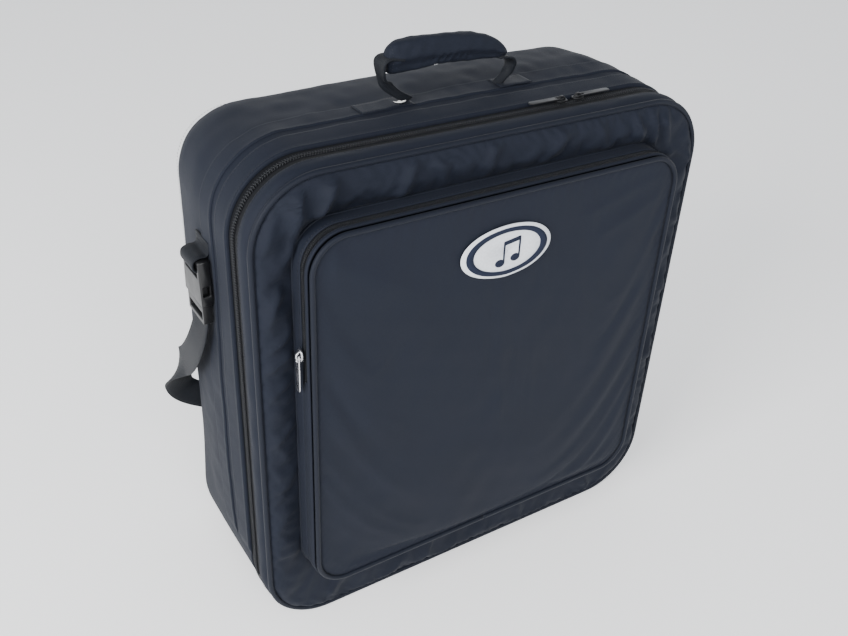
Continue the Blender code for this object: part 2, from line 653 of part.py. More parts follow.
def shoulder_strap():
    """Webbing from one side buckle to the other, hanging behind the back, with a pad on it."""
    left = smooth_path(STRAP_ROUTE, 32)
    path = left + [Vector((-p.x, p.y, p.z)) for p in reversed(left)]
    count = len(path)
    normals = []
    for index, point in enumerate(path):
        sign = -1 if index < count / 2 else 1
        turned = min(1.0, max(0.0, (point.y - STRAP_TURN_Y) / (STRAP_Y - STRAP_TURN_Y - 0.006)))
        angle = turned * math.pi / 2
        normals.append((sign * math.cos(angle), math.sin(angle), 0.0))
    ribbon("strap_webbing", "webbing", path, [STRAP_WIDTH] * count, normals, STRAP_THICK,
           STRAP_AXIS)

    half_high = STRAP_WIDTH / 2
    for side, sign in (("left", -1), ("right", 1)):
        low, high = side_box(sign, (0.150, 0.172), (STRAP_Y - 0.0035, STRAP_Y + 0.0035),
                             (STRAP_LOW_Z - half_high - 0.006, STRAP_LOW_Z + half_high + 0.014))
        adjuster = place("strap_adjuster_" + side, "buckle", block(low, high), STRAP_AXIS)
        slot = tool_box(*side_box(sign, (0.140, 0.182),
                                    (STRAP_Y - STRAP_THICK / 2 - GAP, STRAP_Y + STRAP_THICK / 2 + GAP),
                                    (STRAP_LOW_Z - half_high - 0.002, STRAP_LOW_Z + half_high + 0.010)))
        boolean(adjuster, slot, 'DIFFERENCE')

    length, high, thick = 0.220, 0.060, 0.0120
    outer = oval(high / 2, thick / 2, 6)
    inner = oval(STRAP_WIDTH / 2 + 0.0008, STRAP_THICK / 2 + GAP, 6)
    rows = []
    for x, scale in ((-length / 2, 0.72), (-length / 2 + 0.018, 1.0),
                     (length / 2 - 0.018, 1.0), (length / 2, 0.72)):
        rows.append([(x, STRAP_Y + b * scale, STRAP_LOW_Z + a * scale) for a, b in outer])
    for x in (length / 2, -length / 2):
        rows.append([(x, STRAP_Y + b, STRAP_LOW_Z + a) for a, b in inner])
    place("shoulder_pad", "shell", skin_rows(rows, True), STRAP_AXIS, smooth=True)


body_shell()
body_trim()
front_skirt()
lid()
pocket()
zip_sliders()
handle()
for strap_side, strap_sign in (("left", -1), ("right", 1)):
    side_tab(strap_side, strap_sign)
    buckle(strap_side, strap_sign)
shoulder_strap()
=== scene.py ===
"""Looks of the padded gig bag: cloth, zips, handle, buckles and strap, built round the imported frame.

Metres, in the frame of the CAD: +Z up, -Y the lid side, origin in the middle of the base's underside.
`s` is the running length round an outline, clockwise seen from the lid, from the middle of its base.
"""
import json
import math

import bpy
import numpy as np
from mathutils import Matrix, Vector


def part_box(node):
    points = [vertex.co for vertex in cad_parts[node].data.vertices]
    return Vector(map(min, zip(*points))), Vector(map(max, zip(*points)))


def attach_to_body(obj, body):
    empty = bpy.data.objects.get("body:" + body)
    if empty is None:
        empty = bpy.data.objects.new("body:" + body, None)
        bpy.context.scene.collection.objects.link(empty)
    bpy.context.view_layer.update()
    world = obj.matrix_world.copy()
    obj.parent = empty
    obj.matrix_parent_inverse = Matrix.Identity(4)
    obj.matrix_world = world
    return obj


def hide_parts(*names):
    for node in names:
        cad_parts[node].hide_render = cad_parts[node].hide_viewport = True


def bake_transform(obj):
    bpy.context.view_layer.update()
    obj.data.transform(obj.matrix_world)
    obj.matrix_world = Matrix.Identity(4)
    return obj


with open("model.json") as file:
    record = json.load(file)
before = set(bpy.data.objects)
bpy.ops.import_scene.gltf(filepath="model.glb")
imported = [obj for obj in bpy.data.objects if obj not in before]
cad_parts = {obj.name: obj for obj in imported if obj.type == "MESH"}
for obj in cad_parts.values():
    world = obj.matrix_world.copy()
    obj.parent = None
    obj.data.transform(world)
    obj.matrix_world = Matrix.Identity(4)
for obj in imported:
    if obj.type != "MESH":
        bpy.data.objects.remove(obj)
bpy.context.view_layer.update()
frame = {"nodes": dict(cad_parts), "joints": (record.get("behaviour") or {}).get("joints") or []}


# ---- sizes, read from the frame ----
def span(node, axis):
    """Lowest and highest value of a CAD node along an axis (0 = X, 1 = Y, 2 = Z)."""
    low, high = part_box(node)
    return low[axis], high[axis]


def hinge(joint):
    """Where a joint's axis lies."""
    found = [row for row in frame["joints"] if row["name"] == joint]
    return Vector(found[0]["pos_m"])


LEFT, RIGHT = span("gusset_skin", 0)
BASE, TOP = span("gusset_skin", 2)
CORNER = 0.068                       # radius of the bag's outline
FRONT = span("lid_skin", 1)[0]
BACK = span("back_skin", 1)[1]
ZIP_Y = (span("zip_tape_lid", 1)[0] + span("zip_tape_body", 1)[1]) / 2
TAPE_HALF = span("zip_tape_body", 1)[1] - ZIP_Y
LINING_IN = span("lid_lining", 1)[1] - FRONT
PIPING = (span("lid_piping", 1)[1] - span("lid_piping", 1)[0]) / 2
PIPING_INSET = 0.0030                # the lid's piped edge, in from the outline
REAR_INSET = 0.0195                  # the back's piped edge
ROUND = 0.036                        # the wall turns in to the back over this depth

POCKET_BOX = (*span("pocket_lower_gusset", 0), span("pocket_lower_gusset", 2)[0],
              span("pocket_flap_gusset", 2)[1], 0.036)
POCKET_FRONT = span("pocket_flap_panel", 1)[0]
POCKET_ZIP_Y = (span("pocket_tape_flap", 1)[0] + span("pocket_tape_lid", 1)[1]) / 2
POCKET_TAPE_HALF = span("pocket_tape_lid", 1)[1] - POCKET_ZIP_Y

LID_HINGE = hinge("lid_hinge")
FLAP_HINGE = hinge("pocket_flap_hinge")
HANDLE_HINGE = hinge("handle_fold")

# Cloth that crosses a joint: the two bodies, and where it starts and stops turning.
LID_BEND = ("case", "lid", LID_HINGE - Vector((0, 0, 0.015)), LID_HINGE + Vector((0, 0, 0.020)))
FLAP_BEND = ("lid", "pocket_flap", FLAP_HINGE - Vector((0, 0, 0.010)),
             FLAP_HINGE + Vector((0, 0, 0.010)))
HANDLE_BEND = ("case", "handle", HANDLE_HINGE - Vector((0, 0, 0.002)),
               HANDLE_HINGE + Vector((0, 0, 0.010)))


# ---- materials ----
def feed(tree, made, values):
    """Sets a node's inputs. A value is a number, a colour or another node's output."""
    for key, value in values.items():
        if isinstance(value, bpy.types.NodeSocket):
            tree.links.new(value, made.inputs[key])
        else:
            made.inputs[key].default_value = value


def node(tree, kind, values, **settings):
    """Adds a shader node."""
    made = tree.nodes.new("ShaderNode" + kind)
    for key, value in settings.items():
        setattr(made, key, value)
    feed(tree, made, values)
    return made


def maths(tree, operation, first, second=0.0, third=0.0):
    values = {0: first, 1: second, 2: third}
    return node(tree, "Math", values, operation=operation).outputs[0]


def blank_material(name):
    made = bpy.data.materials.new(name)
    made.use_nodes = True
    return made, made.node_tree, made.node_tree.nodes["Principled BSDF"]


def tint(tree, fac, dark, light):
    """Colour that goes from dark to light with fac."""
    mixed = node(tree, "Mix", {"Factor": fac, "A": (*dark, 1), "B": (*light, 1)}, data_type='RGBA')
    return mixed.outputs["Result"]


def shade(colour, amount):
    return tuple(channel * amount for channel in colour)


def fabric(name, colour, pitch=0.0008, relief=0.00010, roughness=0.70, sheen=0.020, ribs=0.0):
    """Woven cloth. Warp and weft threads come from the UV map, which is in metres."""
    made, tree, shader = blank_material(name)
    uv = node(tree, "UVMap", {}, uv_map="weave").outputs["UV"]
    split = node(tree, "SeparateXYZ", {0: uv})
    turn = 2 * math.pi / pitch
    warp = maths(tree, 'SINE', maths(tree, 'MULTIPLY', split.outputs["X"], turn))
    weft = maths(tree, 'SINE', maths(tree, 'MULTIPLY', split.outputs["Y"], turn))
    weave = maths(tree, 'MULTIPLY', warp, weft)
    slubs = node(tree, "TexNoise", {"Vector": uv, "Scale": 1 / (3 * pitch), "Detail": 2.0})
    rib = maths(tree, 'MULTIPLY', warp, ribs)
    height = maths(tree, 'ADD', maths(tree, 'MULTIPLY', weave, 0.35),
                   maths(tree, 'ADD', slubs.outputs["Fac"], rib))
    place = node(tree, "TexCoord", {}).outputs["Object"]
    patches = node(tree, "TexNoise", {"Vector": place, "Scale": 18.0, "Detail": 3.0}).outputs["Fac"]
    worn = maths(tree, 'MULTIPLY_ADD', slubs.outputs["Fac"], 0.55,
                 maths(tree, 'MULTIPLY', patches, 0.45))
    bump = node(tree, "Bump", {"Height": height, "Strength": 0.55, "Distance": relief})
    feed(tree, shader, {
        "Base Color": tint(tree, worn, shade(colour, 0.72), shade(colour, 1.30)),
        "Roughness": maths(tree, 'MULTIPLY_ADD', patches, 0.14, roughness - 0.07),
        "Normal": bump.outputs["Normal"],
        "Sheen Weight": sheen,
        "Sheen Roughness": 0.45,
        "Specular IOR Level": 0.14})
    return made


def moulded(name, colour, roughness, metallic=0.0, grain=900.0):
    """Moulded plastic or cast metal, with a fine grain and faint scuffs."""
    scuffs = 0.25
    made, tree, shader = blank_material(name)
    place = node(tree, "TexCoord", {}).outputs["Object"]
    fine = node(tree, "TexNoise", {"Vector": place, "Scale": grain, "Detail": 2.0}).outputs["Fac"]
    broad = node(tree, "TexNoise", {"Vector": place, "Scale": 90.0, "Detail": 5.0}).outputs["Fac"]
    bump = node(tree, "Bump", {"Height": fine, "Strength": 0.4, "Distance": 0.00004})
    feed(tree, shader, {
        "Base Color": tint(tree, broad, shade(colour, 0.8), shade(colour, 1.2)),
        "Roughness": maths(tree, 'MULTIPLY_ADD', broad, scuffs, roughness - scuffs / 2),
        "Normal": bump.outputs["Normal"],
        "Metallic": metallic,
        "Specular IOR Level": 0.35})
    return made


NAVY = (0.0070, 0.0092, 0.0162)
MATERIALS = {
    "shell": fabric("polyester_weave", NAVY),
    "trim": fabric("piping_weave", shade(NAVY, 0.85), pitch=0.0006, roughness=0.55),
    "lining": fabric("lining_weave", (0.016, 0.017, 0.020), pitch=0.0005, relief=0.00005),
    "tape": fabric("zip_tape_weave", (0.0045, 0.0050, 0.0065), pitch=0.0009, ribs=0.8),
    "webbing": fabric("webbing_weave", (0.0072, 0.0085, 0.0115), pitch=0.0016, relief=0.00025,
                      roughness=0.58, ribs=1.0),
    "coil": moulded("zip_coil_nylon", (0.012, 0.013, 0.016), 0.36),
    "thread": moulded("sewing_thread", (0.013, 0.015, 0.021), 0.60, grain=3000.0),
    "buckle": moulded("satin_acetal", (0.0060, 0.0062, 0.0070), 0.34),
    "metal": moulded("cast_zinc", (0.70, 0.70, 0.72), 0.28, metallic=1.0),
    "badge": fabric("badge_white", (0.62, 0.64, 0.68), pitch=0.0007, relief=0.00015, roughness=0.6,
                    sheen=0.0, ribs=0.8),
    "badge_navy": fabric("badge_navy", (0.010, 0.014, 0.030), pitch=0.0007, relief=0.00015,
                         sheen=0.0, ribs=0.8),
    "tag": fabric("satin_tag", (0.80, 0.80, 0.78), pitch=0.0004, relief=0.00003, sheen=0.0),
}


# ---- meshes ----
BAG_MIDDLE = np.array([0, 0, (BASE + TOP) / 2])
SIDES = (("left", -1), ("right", 1))


def grid(*parts):
    """Brings arrays to one shape and stacks them: the x, y and z of points, or the u and v of a map."""
    return np.stack(np.broadcast_arrays(*parts), -1)


def add(name, data):
    """Puts an object in the scene."""
    made = bpy.data.objects.new(name, data)
    bpy.context.scene.collection.objects.link(made)
    return made


def surface(name, points, uv, wrap=False):
    """Mesh from a grid of points, rows by columns.

    `wrap` makes a closed tube: it joins the last column to the first and closes both ends.
    """
    rows, columns = points.shape[:2]
    row, column = np.meshgrid(np.arange(rows - 1), np.arange(columns - (0 if wrap else 1)),
                              indexing="ij")
    corners = [(row, column), (row, column + 1), (row + 1, column + 1), (row + 1, column)]
    faces = np.stack([r * columns + c % columns for r, c in corners], -1).reshape(-1, 4)
    wide = uv.shape[1]
    loops = np.stack([r * wide + c for r, c in corners], -1).reshape(-1)
    faces = faces.tolist()
    loops = uv.reshape(-1, 2)[loops]
    if wrap:
        first = list(range(columns))
        last = [(rows - 1) * columns + c for c in range(columns)]
        faces += [first[::-1], last]
        ends = uv.reshape(-1, 2)[[0] * columns + [-1] * columns]
        loops = np.concatenate([loops, ends])
    mesh = bpy.data.meshes.new(name)
    mesh.from_pydata(points.reshape(-1, 3).tolist(), [], faces)
    layer = mesh.uv_layers.new(name="weave")
    layer.data.foreach_set("uv", loops.astype(np.float32).ravel())
    normals = np.array([face.normal for face in mesh.polygons])
    centres = np.array([face.center for face in mesh.polygons])
    if wrap:
        centre_line = points.mean(axis=1)
        nearest = np.minimum(np.arange(len(centres)) // columns, rows - 1)
        outward = centres - centre_line[nearest]
    else:
        outward = centres - BAG_MIDDLE
    if (normals * outward).sum() < 0:
        mesh.flip_normals()
    mesh.shade_smooth()
    return add(name, mesh)


def attach(piece, material, body=None, bend=None, stands_for=()):
    """Gives a piece its material and fixes it to a body; with `bend` it only bakes the piece's transform.
    """
    piece.data.materials.clear()
    piece.data.materials.append(MATERIALS[material])
    if bend:
        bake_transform(piece)
    else:
        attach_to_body(piece, body)
    if stands_for:
        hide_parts(*stands_for)
    return piece


def bake(piece):
    """Replaces a piece's mesh by what its modifiers make of it."""
    bpy.context.view_layer.update()
    graph = bpy.context.evaluated_depsgraph_get()
    result = bpy.data.meshes.new_from_object(piece.evaluated_get(graph))
    piece.modifiers.clear()
    piece.data = result
    return piece


def thicken(piece, depth):
    """Gives a sheet thickness, inwards from the face that shows."""
    solid = piece.modifiers.new("thickness", 'SOLIDIFY')
    solid.thickness = depth
    solid.offset = -1.0
    return bake(piece)


def settle(piece, sewn, slack, reach, pressure):
    """Cloth simulation of a padded panel. Points where `sewn` is true stay; the rest puffs and wrinkles.

    `slack` is the share by which the cloth is cut too large, and `reach` limits how far a point moves.
    """
    frames = 20
    count = len(piece.data.vertices)
    start = np.empty(count * 3, np.float32)
    piece.data.vertices.foreach_get("co", start)
    group = piece.vertex_groups.new(name="sewn")
    group.add([int(index) for index in np.flatnonzero(sewn)], 1.0, 'REPLACE')
    cloth = piece.modifiers.new("cloth", 'CLOTH')
    cloth.settings.vertex_group_mass = "sewn"
    cloth.settings.use_pressure = True
    cloth.settings.uniform_pressure_force = pressure
    cloth.settings.shrink_min = -slack
    cloth.settings.tension_stiffness = 20
    cloth.settings.compression_stiffness = 20
    cloth.settings.bending_stiffness = 0.05
    cloth.settings.effector_weights.gravity = 0.15
    cloth.collision_settings.use_collision = False
    cloth.point_cache.frame_end = frames
    scene = bpy.context.scene
    for number in range(1, frames + 1):
        scene.frame_set(number)
    graph = bpy.context.evaluated_depsgraph_get()
    moved = np.empty(count * 3, np.float32)
    piece.evaluated_get(graph).data.vertices.foreach_get("co", moved)
    piece.modifiers.clear()
    piece.vertex_groups.clear()
    shift = (moved - start).reshape(-1, 3)
    far = np.linalg.norm(shift, axis=1, keepdims=True)
    shift = shift * reach * np.tanh(far / reach) / np.maximum(far, 1e-9)
    piece.data.vertices.foreach_set("co", start + shift.ravel())
    piece.data.update()
    scene.frame_set(1)


def lengths(path):
    """Running length at each point of a path."""
    steps = np.linalg.norm(np.diff(path, axis=0), axis=1)
    return np.concatenate([[0.0], np.cumsum(steps)])


def unit(vectors):
    return vectors / np.linalg.norm(vectors, axis=-1, keepdims=True)


def tube(name, path, reference, radius, sides):
    """Round cord along a path. `reference` is roughly square to the path at each point."""
    tangent = unit(np.gradient(path, axis=0))
    across = unit(reference - tangent * (reference * tangent).sum(-1, keepdims=True))
    other = np.cross(tangent, across)
    turns = np.arange(sides) * 2 * math.pi / sides
    ring = (across[:, None] * np.cos(turns)[None, :, None]
            + other[:, None] * np.sin(turns)[None, :, None])
    points = path[:, None] + ring * radius
    around = np.linspace(0, 2 * math.pi * radius, sides + 1)
    return surface(name, points, grid(around[None], lengths(path)[:, None]), wrap=True)


def ribbon(name, path, facing, width, thick, cup=0.0):
    """Webbing along a path: flat, with rounded edges, its face towards `facing`."""
    tangent = unit(np.gradient(path, axis=0))
    face = unit(facing - tangent * (facing * tangent).sum(-1, keepdims=True))
    side = np.cross(tangent, face)
    across = np.array([-1, -0.97, -0.6, -0.2, 0.2, 0.6, 0.97, 1])
    across = np.concatenate([across, across[::-1]])
    edge = np.array([0.25, 0.5, 0.5, 0.5, 0.5, 0.5, 0.5, 0.25])
    level = np.concatenate([edge, -edge[::-1]])
    half = np.broadcast_to(np.asarray(width, float) / 2, (len(path),))[:, None, None]
    cups = np.broadcast_to(np.asarray(cup, float), (len(path),))[:, None, None]
    points = (path[:, None] + side[:, None] * half * across[None, :, None]
              + face[:, None] * (level[None, :, None] * thick
                                 + cups * (across[None, :, None] ** 2 - 0.4)))
    ends = np.append(across, across[0])
    return surface(name, points, grid(half[:, :, 0] * ends, lengths(path)[:, None]), wrap=True)


def spline(points, count):
    """Catmull-Rom curve through given points."""
    knots = np.array([points[0]] + list(points) + [points[-1]], float)
    at = np.linspace(0, len(points) - 1, count)
    first = np.minimum(at.astype(int), len(points) - 2)
    t = (at - first)[:, None]
    a, b, c, d = (knots[first + k] for k in range(4))
    return 0.5 * (2 * b + (c - a) * t + (2 * a - 5 * b + 4 * c - d) * t ** 2
                  + (3 * b - a - 3 * c + d) * t ** 3)


def stitches(name, path, up, body=None, bend=None, pitch=0.0034):
    """Row of sewn stitches along a path: each is a short thread, thick in its middle."""
    run = lengths(path)
    centres = np.arange(pitch / 2, run[-1], pitch)
    at, rise, along = (np.stack([np.interp(centres, run, column) for column in rows.T], -1)
                       for rows in (path, np.broadcast_to(up, path.shape), np.gradient(path, axis=0)))
    rise, along = unit(rise), unit(along)
    side = np.cross(along, rise)
    half, radius = 0.36 * pitch, 0.00032
    corners = np.stack([at - along * half, at + side * radius, at + rise * radius,
                        at - side * radius, at - rise * radius, at + along * half], 1)
    start = np.arange(len(centres))[:, None, None] * 6
    pattern = np.array([(0, 2, 1), (0, 3, 2), (0, 4, 3), (0, 1, 4),
                        (5, 1, 2), (5, 2, 3), (5, 3, 4), (5, 4, 1)])
    mesh = bpy.data.meshes.new(name)
    mesh.from_pydata(corners.reshape(-1, 3).tolist(), [], (start + pattern).reshape(-1, 3).tolist())
    mesh.shade_smooth()
    return attach(add(name, mesh), "thread", body, bend)


# ---- outlines ----
class Ring:
    """Rounded rectangle in the XZ plane, followed by its running length s."""

    def __init__(self, left, right, bottom, top, radius):
        self.box = (left, right, bottom, top, radius)
        middle = (left + right) / 2
        points, normals = [(middle, bottom)], [(0.0, -1.0)]
        for x, z, start in ((left + radius, bottom + radius, 270), (left + radius, top - radius, 180),
                            (right - radius, top - radius, 90), (right - radius, bottom + radius, 0)):
            for turn in range(0, 91, 3):
                angle = math.radians(start - turn)
                normals.append((math.cos(angle), math.sin(angle)))
                points.append((x + radius * normals[-1][0], z + radius * normals[-1][1]))
        points.append(points[0])
        normals.append(normals[0])
        self.points, self.normals = np.array(points), np.array(normals)
        self.run = lengths(self.points)
        self.length = self.run[-1]

    def at(self, s):
        """Points and outward normals, both (x, z)."""
        point = [np.interp(s, self.run, self.points[:, k]) for k in (0, 1)]
        normal = [np.interp(s, self.run, self.normals[:, k]) for k in (0, 1)]
        return grid(*point), unit(grid(*normal))

    def reaches(self, z):
        """The first s, going up the left side, at this height."""
        left = self.run < self.length / 2
        return float(np.interp(z, self.points[left, 1], self.run[left]))

    def lift(self, s, y, out=0.0):
        """Points in space on the outline at s, at depth y, moved outwards by `out`."""
        s, y, out = np.broadcast_arrays(s, y, out)
        point, normal = self.at(s)
        return grid(point[..., 0] + out * normal[..., 0], y, point[..., 1] + out * normal[..., 1])

    def outward(self, s):
        normal = self.at(s)[1]
        return grid(normal[..., 0], 0.0, normal[..., 1])

    def depth(self, x, z):
        """How far inside the outline a point lies."""
        left, right, bottom, top, radius = self.box
        past_x = np.abs(x - (left + right) / 2) - (right - left) / 2 + radius
        past_z = np.abs(z - (bottom + top) / 2) - (top - bottom) / 2 + radius
        outside = np.hypot(np.maximum(past_x, 0), np.maximum(past_z, 0))
        return radius - outside - np.minimum(np.maximum(past_x, past_z), 0)

    def panel(self, inset, step=0.004):
        """Grid of (x, z) that fills the outline, its edge `inset` inside it."""
        left, right, bottom, top, radius = self.box
        left, right, bottom, top = left + inset, right - inset, bottom + inset, top - inset
        radius = radius - inset
        turns = np.linspace(0, math.pi / 2, max(6, int(radius * 1.57 / step)))
        rise = radius * (1 - np.cos(turns))
        pull = radius * (1 - np.sin(turns))
        straight = np.arange(bottom + radius + step, top - radius - step / 2, step)
        z = np.concatenate([bottom + rise, straight, (top - rise)[::-1]])
        half = (right - left) / 2 - np.concatenate([pull, np.zeros(len(straight)), pull[::-1]])
        across = np.linspace(-1, 1, int((right - left) / step))
        return np.broadcast_arrays((left + right) / 2 + half[:, None] * across, z[:, None])


BAG = Ring(LEFT, RIGHT, BASE, TOP, CORNER)
POCKET = Ring(*POCKET_BOX)
ZIP_START = BAG.reaches(LID_HINGE.z)
ZIP_END = BAG.length - ZIP_START
FLAP_START = POCKET.reaches(FLAP_HINGE.z)
FLAP_END = POCKET.length - FLAP_START


def smooth(low, high, value):
    """0 before low, 1 after high, and an even S between them."""
    t = np.clip((value - low) / (high - low), 0, 1)
    return t * t * (3 - 2 * t)


def ripple(u, v, size, seed):
    """Smooth uneven height, about -1 to 1, with swells about `size` across."""
    chance = np.random.default_rng(seed)
    total = 0.0
    for _ in range(8):
        heading, phase = chance.uniform(0, math.pi), chance.uniform(0, 2 * math.pi)
        pitch = size * chance.uniform(0.7, 1.8)
        total = total + np.sin(2 * math.pi * (u * math.cos(heading) + v * math.sin(heading)) / pitch
                               + phase)
    return total / 3.2


def fold(u, v, start, end, width, height):
    """Soft ridge along a line, sharper on its crest, fading out past both ends."""
    run = math.dist(start, end)
    along = ((u - start[0]) * (end[0] - start[0]) + (v - start[1]) * (end[1] - start[1])) / run
    across = ((u - start[0]) * (end[1] - start[1]) - (v - start[1]) * (end[0] - start[0])) / run
    past = np.maximum(0, np.maximum(-along, along - run))
    return height * np.exp(-np.abs(across / width) ** 1.6 - (past / (1.5 * width)) ** 2)


def samples(low, high, step):
    return np.linspace(low, high, max(2, int(round((high - low) / step)) + 1))


# ---- the bag's walls ----
def wall_crown(s, y):
    """How far the padded wall bulges past its outline: most on top, none on the base or at the zip."""
    point, normal = BAG.at(s)
    deep = np.clip((y - ZIP_Y - TAPE_HALF) / (BACK - ZIP_Y - TAPE_HALF), 0, 1)
    bulge = np.sin(math.pi * deep ** 0.85) ** 0.8
    above = np.maximum(normal[..., 1], 0) ** 2
    beside = normal[..., 0] ** 2
    middle = 1 - 0.5 * (point[..., 0] / RIGHT) ** 2
    pressed = 1 - 0.75 * np.exp(-((point[..., 1] - 0.415) / 0.09) ** 2)
    height = smooth(0.02, 0.16, point[..., 1])
    crown = bulge * (0.0064 * above * middle + 0.0036 * beside * pressed * height)
    slack = smooth(0.010, 0.085, y) * height
    lean = 0.0050 * np.clip(point[..., 0] / RIGHT, -1, 0.4) * smooth(ZIP_Y + 0.02, 0.02, y)
    crown = crown - slack * (0.0068 * beside + 0.0020 * above) + lean * above * height
    loose = (above + beside * pressed * 0.7) * height
    return crown + loose * bulge * (0.0007 * ripple(s, y, 0.060, 3) + 0.0004 * ripple(s, y, 0.022, 4))


def wall_section(steps=12):
    """(inset, y) from the front seam of the wall to the rear piping."""
    y = samples(ZIP_Y + TAPE_HALF, BACK - ROUND, 0.004)
    turns = np.linspace(0, math.pi / 2, steps)[1:]
    inset = np.concatenate([np.zeros(len(y)), (REAR_INSET - 0.001) * (1 - np.cos(turns))])
    return inset, np.concatenate([y, BACK - ROUND + (ROUND - 0.001) * np.sin(turns)])


def case_walls():
    inset, y = wall_section()
    s = samples(0, BAG.length, 0.004)[:, None]
    points = BAG.lift(s, y[None], wall_crown(s, y[None]) - inset[None])
    across = lengths(grid(inset, y))
    wall = surface("case_wall", points, grid(s, across[None]))
    thicken(wall, 0.0012)
    attach(wall, "shell", "case",
           stands_for=("gusset_skin", "gusset_foam", "base_skin", "base_foam"))

    x, z = BAG.panel(REAR_INSET)
    inside = BAG.depth(x, z) - REAR_INSET
    swell = 0.0045 * (1 - np.exp(-inside / 0.045))
    wrinkle = 0.0005 * ripple(x, z, 0.19, 5) + 0.0003 * ripple(x, z, 0.035, 6)
    y = BACK - 0.0015 + swell + wrinkle * smooth(0, 0.03, inside)
    back = surface("back_panel", grid(x, y, z), grid(x, z))
    attach(back, "shell", "case", stands_for=("back_skin", "back_foam"))

    piping(BAG, "rear_piping_cord", REAR_INSET, BACK - 0.0008, PIPING, "case",
           stands_for=("rear_piping",))
    s = samples(0, BAG.length, 0.004)
    path = BAG.lift(s, BACK - 0.0022, 0.0061 - REAR_INSET)
    stitches("rear_seam_stitching", path, BAG.outward(s) + np.array([0, 1.5, 0]), "case")


def piping(ring, name, inset, y, radius, body=None, bend=None, stands_for=()):
    """Corded edge that runs right round an outline."""
    s = samples(0, ring.length, 0.005)
    path = ring.lift(s, y, -inset)
    cord = tube(name, path, np.array([0.0, 1.0, 0.0]), radius, sides=10)
    return attach(cord, "trim", body, bend, stands_for)


def wall_strip(name, cad_node, proud, bead):
    """Strip sewn to the outside of the wall, its edges rolled under, its foot above the base."""
    y_low, y_high = span(cad_node, 1)
    start = BAG.reaches(0.074)
    s = samples(start, BAG.length - start, 0.004)[:, None]
    lip = 0.0009
    y = np.concatenate([[y_low, y_low, y_low + lip], samples(y_low + 3 * lip, y_high - 3 * lip, 0.005),
                        [y_high - lip, y_high, y_high]])
    out = np.full(len(y), proud)
    out[[0, -1]] = -0.0004
    out[[1, -2]] = proud * 0.6
    out[2] += bead
    ease = smooth(0, 0.012, np.minimum(s - s[0], s[-1] - s))
    points = BAG.lift(s, y[None], wall_crown(s, y[None]) + 0.0002 + (out[None] - 0.0002) * ease)
    strip = surface(name, points, grid(s, y[None]))
    attach(strip, "shell", "case", stands_for=(cad_node,))
    for edge, at in (("front", y_low + 0.0030), ("rear", y_high - 0.0030)):
        line = s[3:-3, 0]
        path = BAG.lift(line, at, wall_crown(line, np.full_like(line, at)) + proud)
        stitches(f"{name}_stitching_{edge}", path, BAG.outward(line), "case")


def case_trim():
    wall_strip("trim_strip", "trim_band", 0.0014, 0.0006)
    wall_strip("storm_flap_strip", "storm_flap", 0.0022, 0.0010)


# ---- zips ----
def zip_half(ring, names, s_low, s_high, y, sign, tape_half, pitch, body, stands_for):
    """One tape and its nylon coil. `sign` is the side of the zip's middle line that it lies on."""
    tape_name, coil_name = names
    s = samples(s_low, s_high, 0.005)[:, None]
    across = np.array([0.0002, 0.2 * tape_half, 0.5 * tape_half, 0.8 * tape_half, tape_half + 0.0012])
    out = np.array([-0.0012, -0.0012, -0.0010, -0.0008, -0.0008])
    tape = surface(tape_name, ring.lift(s, y + sign * across[None], out[None]),
                   grid(s, across[None]))
    attach(tape, "tape", body, stands_for=stands_for[:1])

    half_wide, half_high = 0.62 * pitch, 0.40 * pitch
    turns = (s_high - s_low) / pitch
    phase = np.linspace(0, 2 * math.pi * turns, int(turns * 8))
    s = s_low + pitch * phase / (2 * math.pi)
    start = 0.0 if sign < 0 else math.pi
    path = ring.lift(s, y + sign * (half_wide * 0.80 + half_wide * np.cos(phase + start)),
                     half_high * np.sin(phase + start) + half_high - 0.0012)
    heading = unit(np.gradient(ring.lift(s, y), axis=0))
    coil = tube(coil_name, path, heading, 0.17 * pitch, sides=5)
    attach(coil, "coil", body, stands_for=stands_for[1:])


def zips():
    over = 0.004                     # each tape runs on past the hinge line
    for side, sign, body in (("lid", -1, "lid"), ("body", 1, "case")):
        zip_half(BAG, (f"main_zip_tape_{side}", f"main_zip_coil_{side}"), ZIP_START - over,
                 ZIP_END + over, ZIP_Y, sign, TAPE_HALF, 0.0025, body,
                 (f"zip_tape_{side}", f"zip_coil_{side}"))
    for side, sign, body in (("flap", -1, "pocket_flap"), ("lid", 1, "lid")):
        zip_half(POCKET, (f"pocket_zip_tape_{side}", f"pocket_zip_coil_{side}"), FLAP_START - over,
                 FLAP_END + over, POCKET_ZIP_Y, sign, POCKET_TAPE_HALF, 0.0019, body,
                 (f"pocket_tape_{side}", f"pocket_coil_{side}"))


def cast(name, cad_node, bevel, material, body, shape=None):
    """A hard piece from its CAD node's mesh, with rounded edges."""
    mesh = frame["nodes"][cad_node].data.copy()
    mesh.name = name
    piece = add(name, mesh)
    if shape:
        for vertex in mesh.vertices:
            vertex.co = shape(vertex.co)
    weld = piece.modifiers.new("weld", 'WELD')
    weld.merge_threshold = 0.00002
    edge = piece.modifiers.new("edges", 'BEVEL')
    edge.width = bevel
    edge.segments = 3
    edge.limit_method = 'ANGLE'
    edge.angle_limit = math.radians(35)
    bake(piece)
    piece.data.shade_smooth()
    piece.data.set_sharp_from_angle(angle=math.radians(50))
    return attach(piece, material, body, stands_for=(cad_node,))


def sliders():
    for kind in ("main_slider_left", "main_slider_right", "pocket_slider",
                 "main_puller_left", "main_puller_right", "pocket_puller"):
        material = "metal" if kind.startswith("pocket") else "buckle"
        cast(kind + "_casting", kind, 0.00035, material, kind)


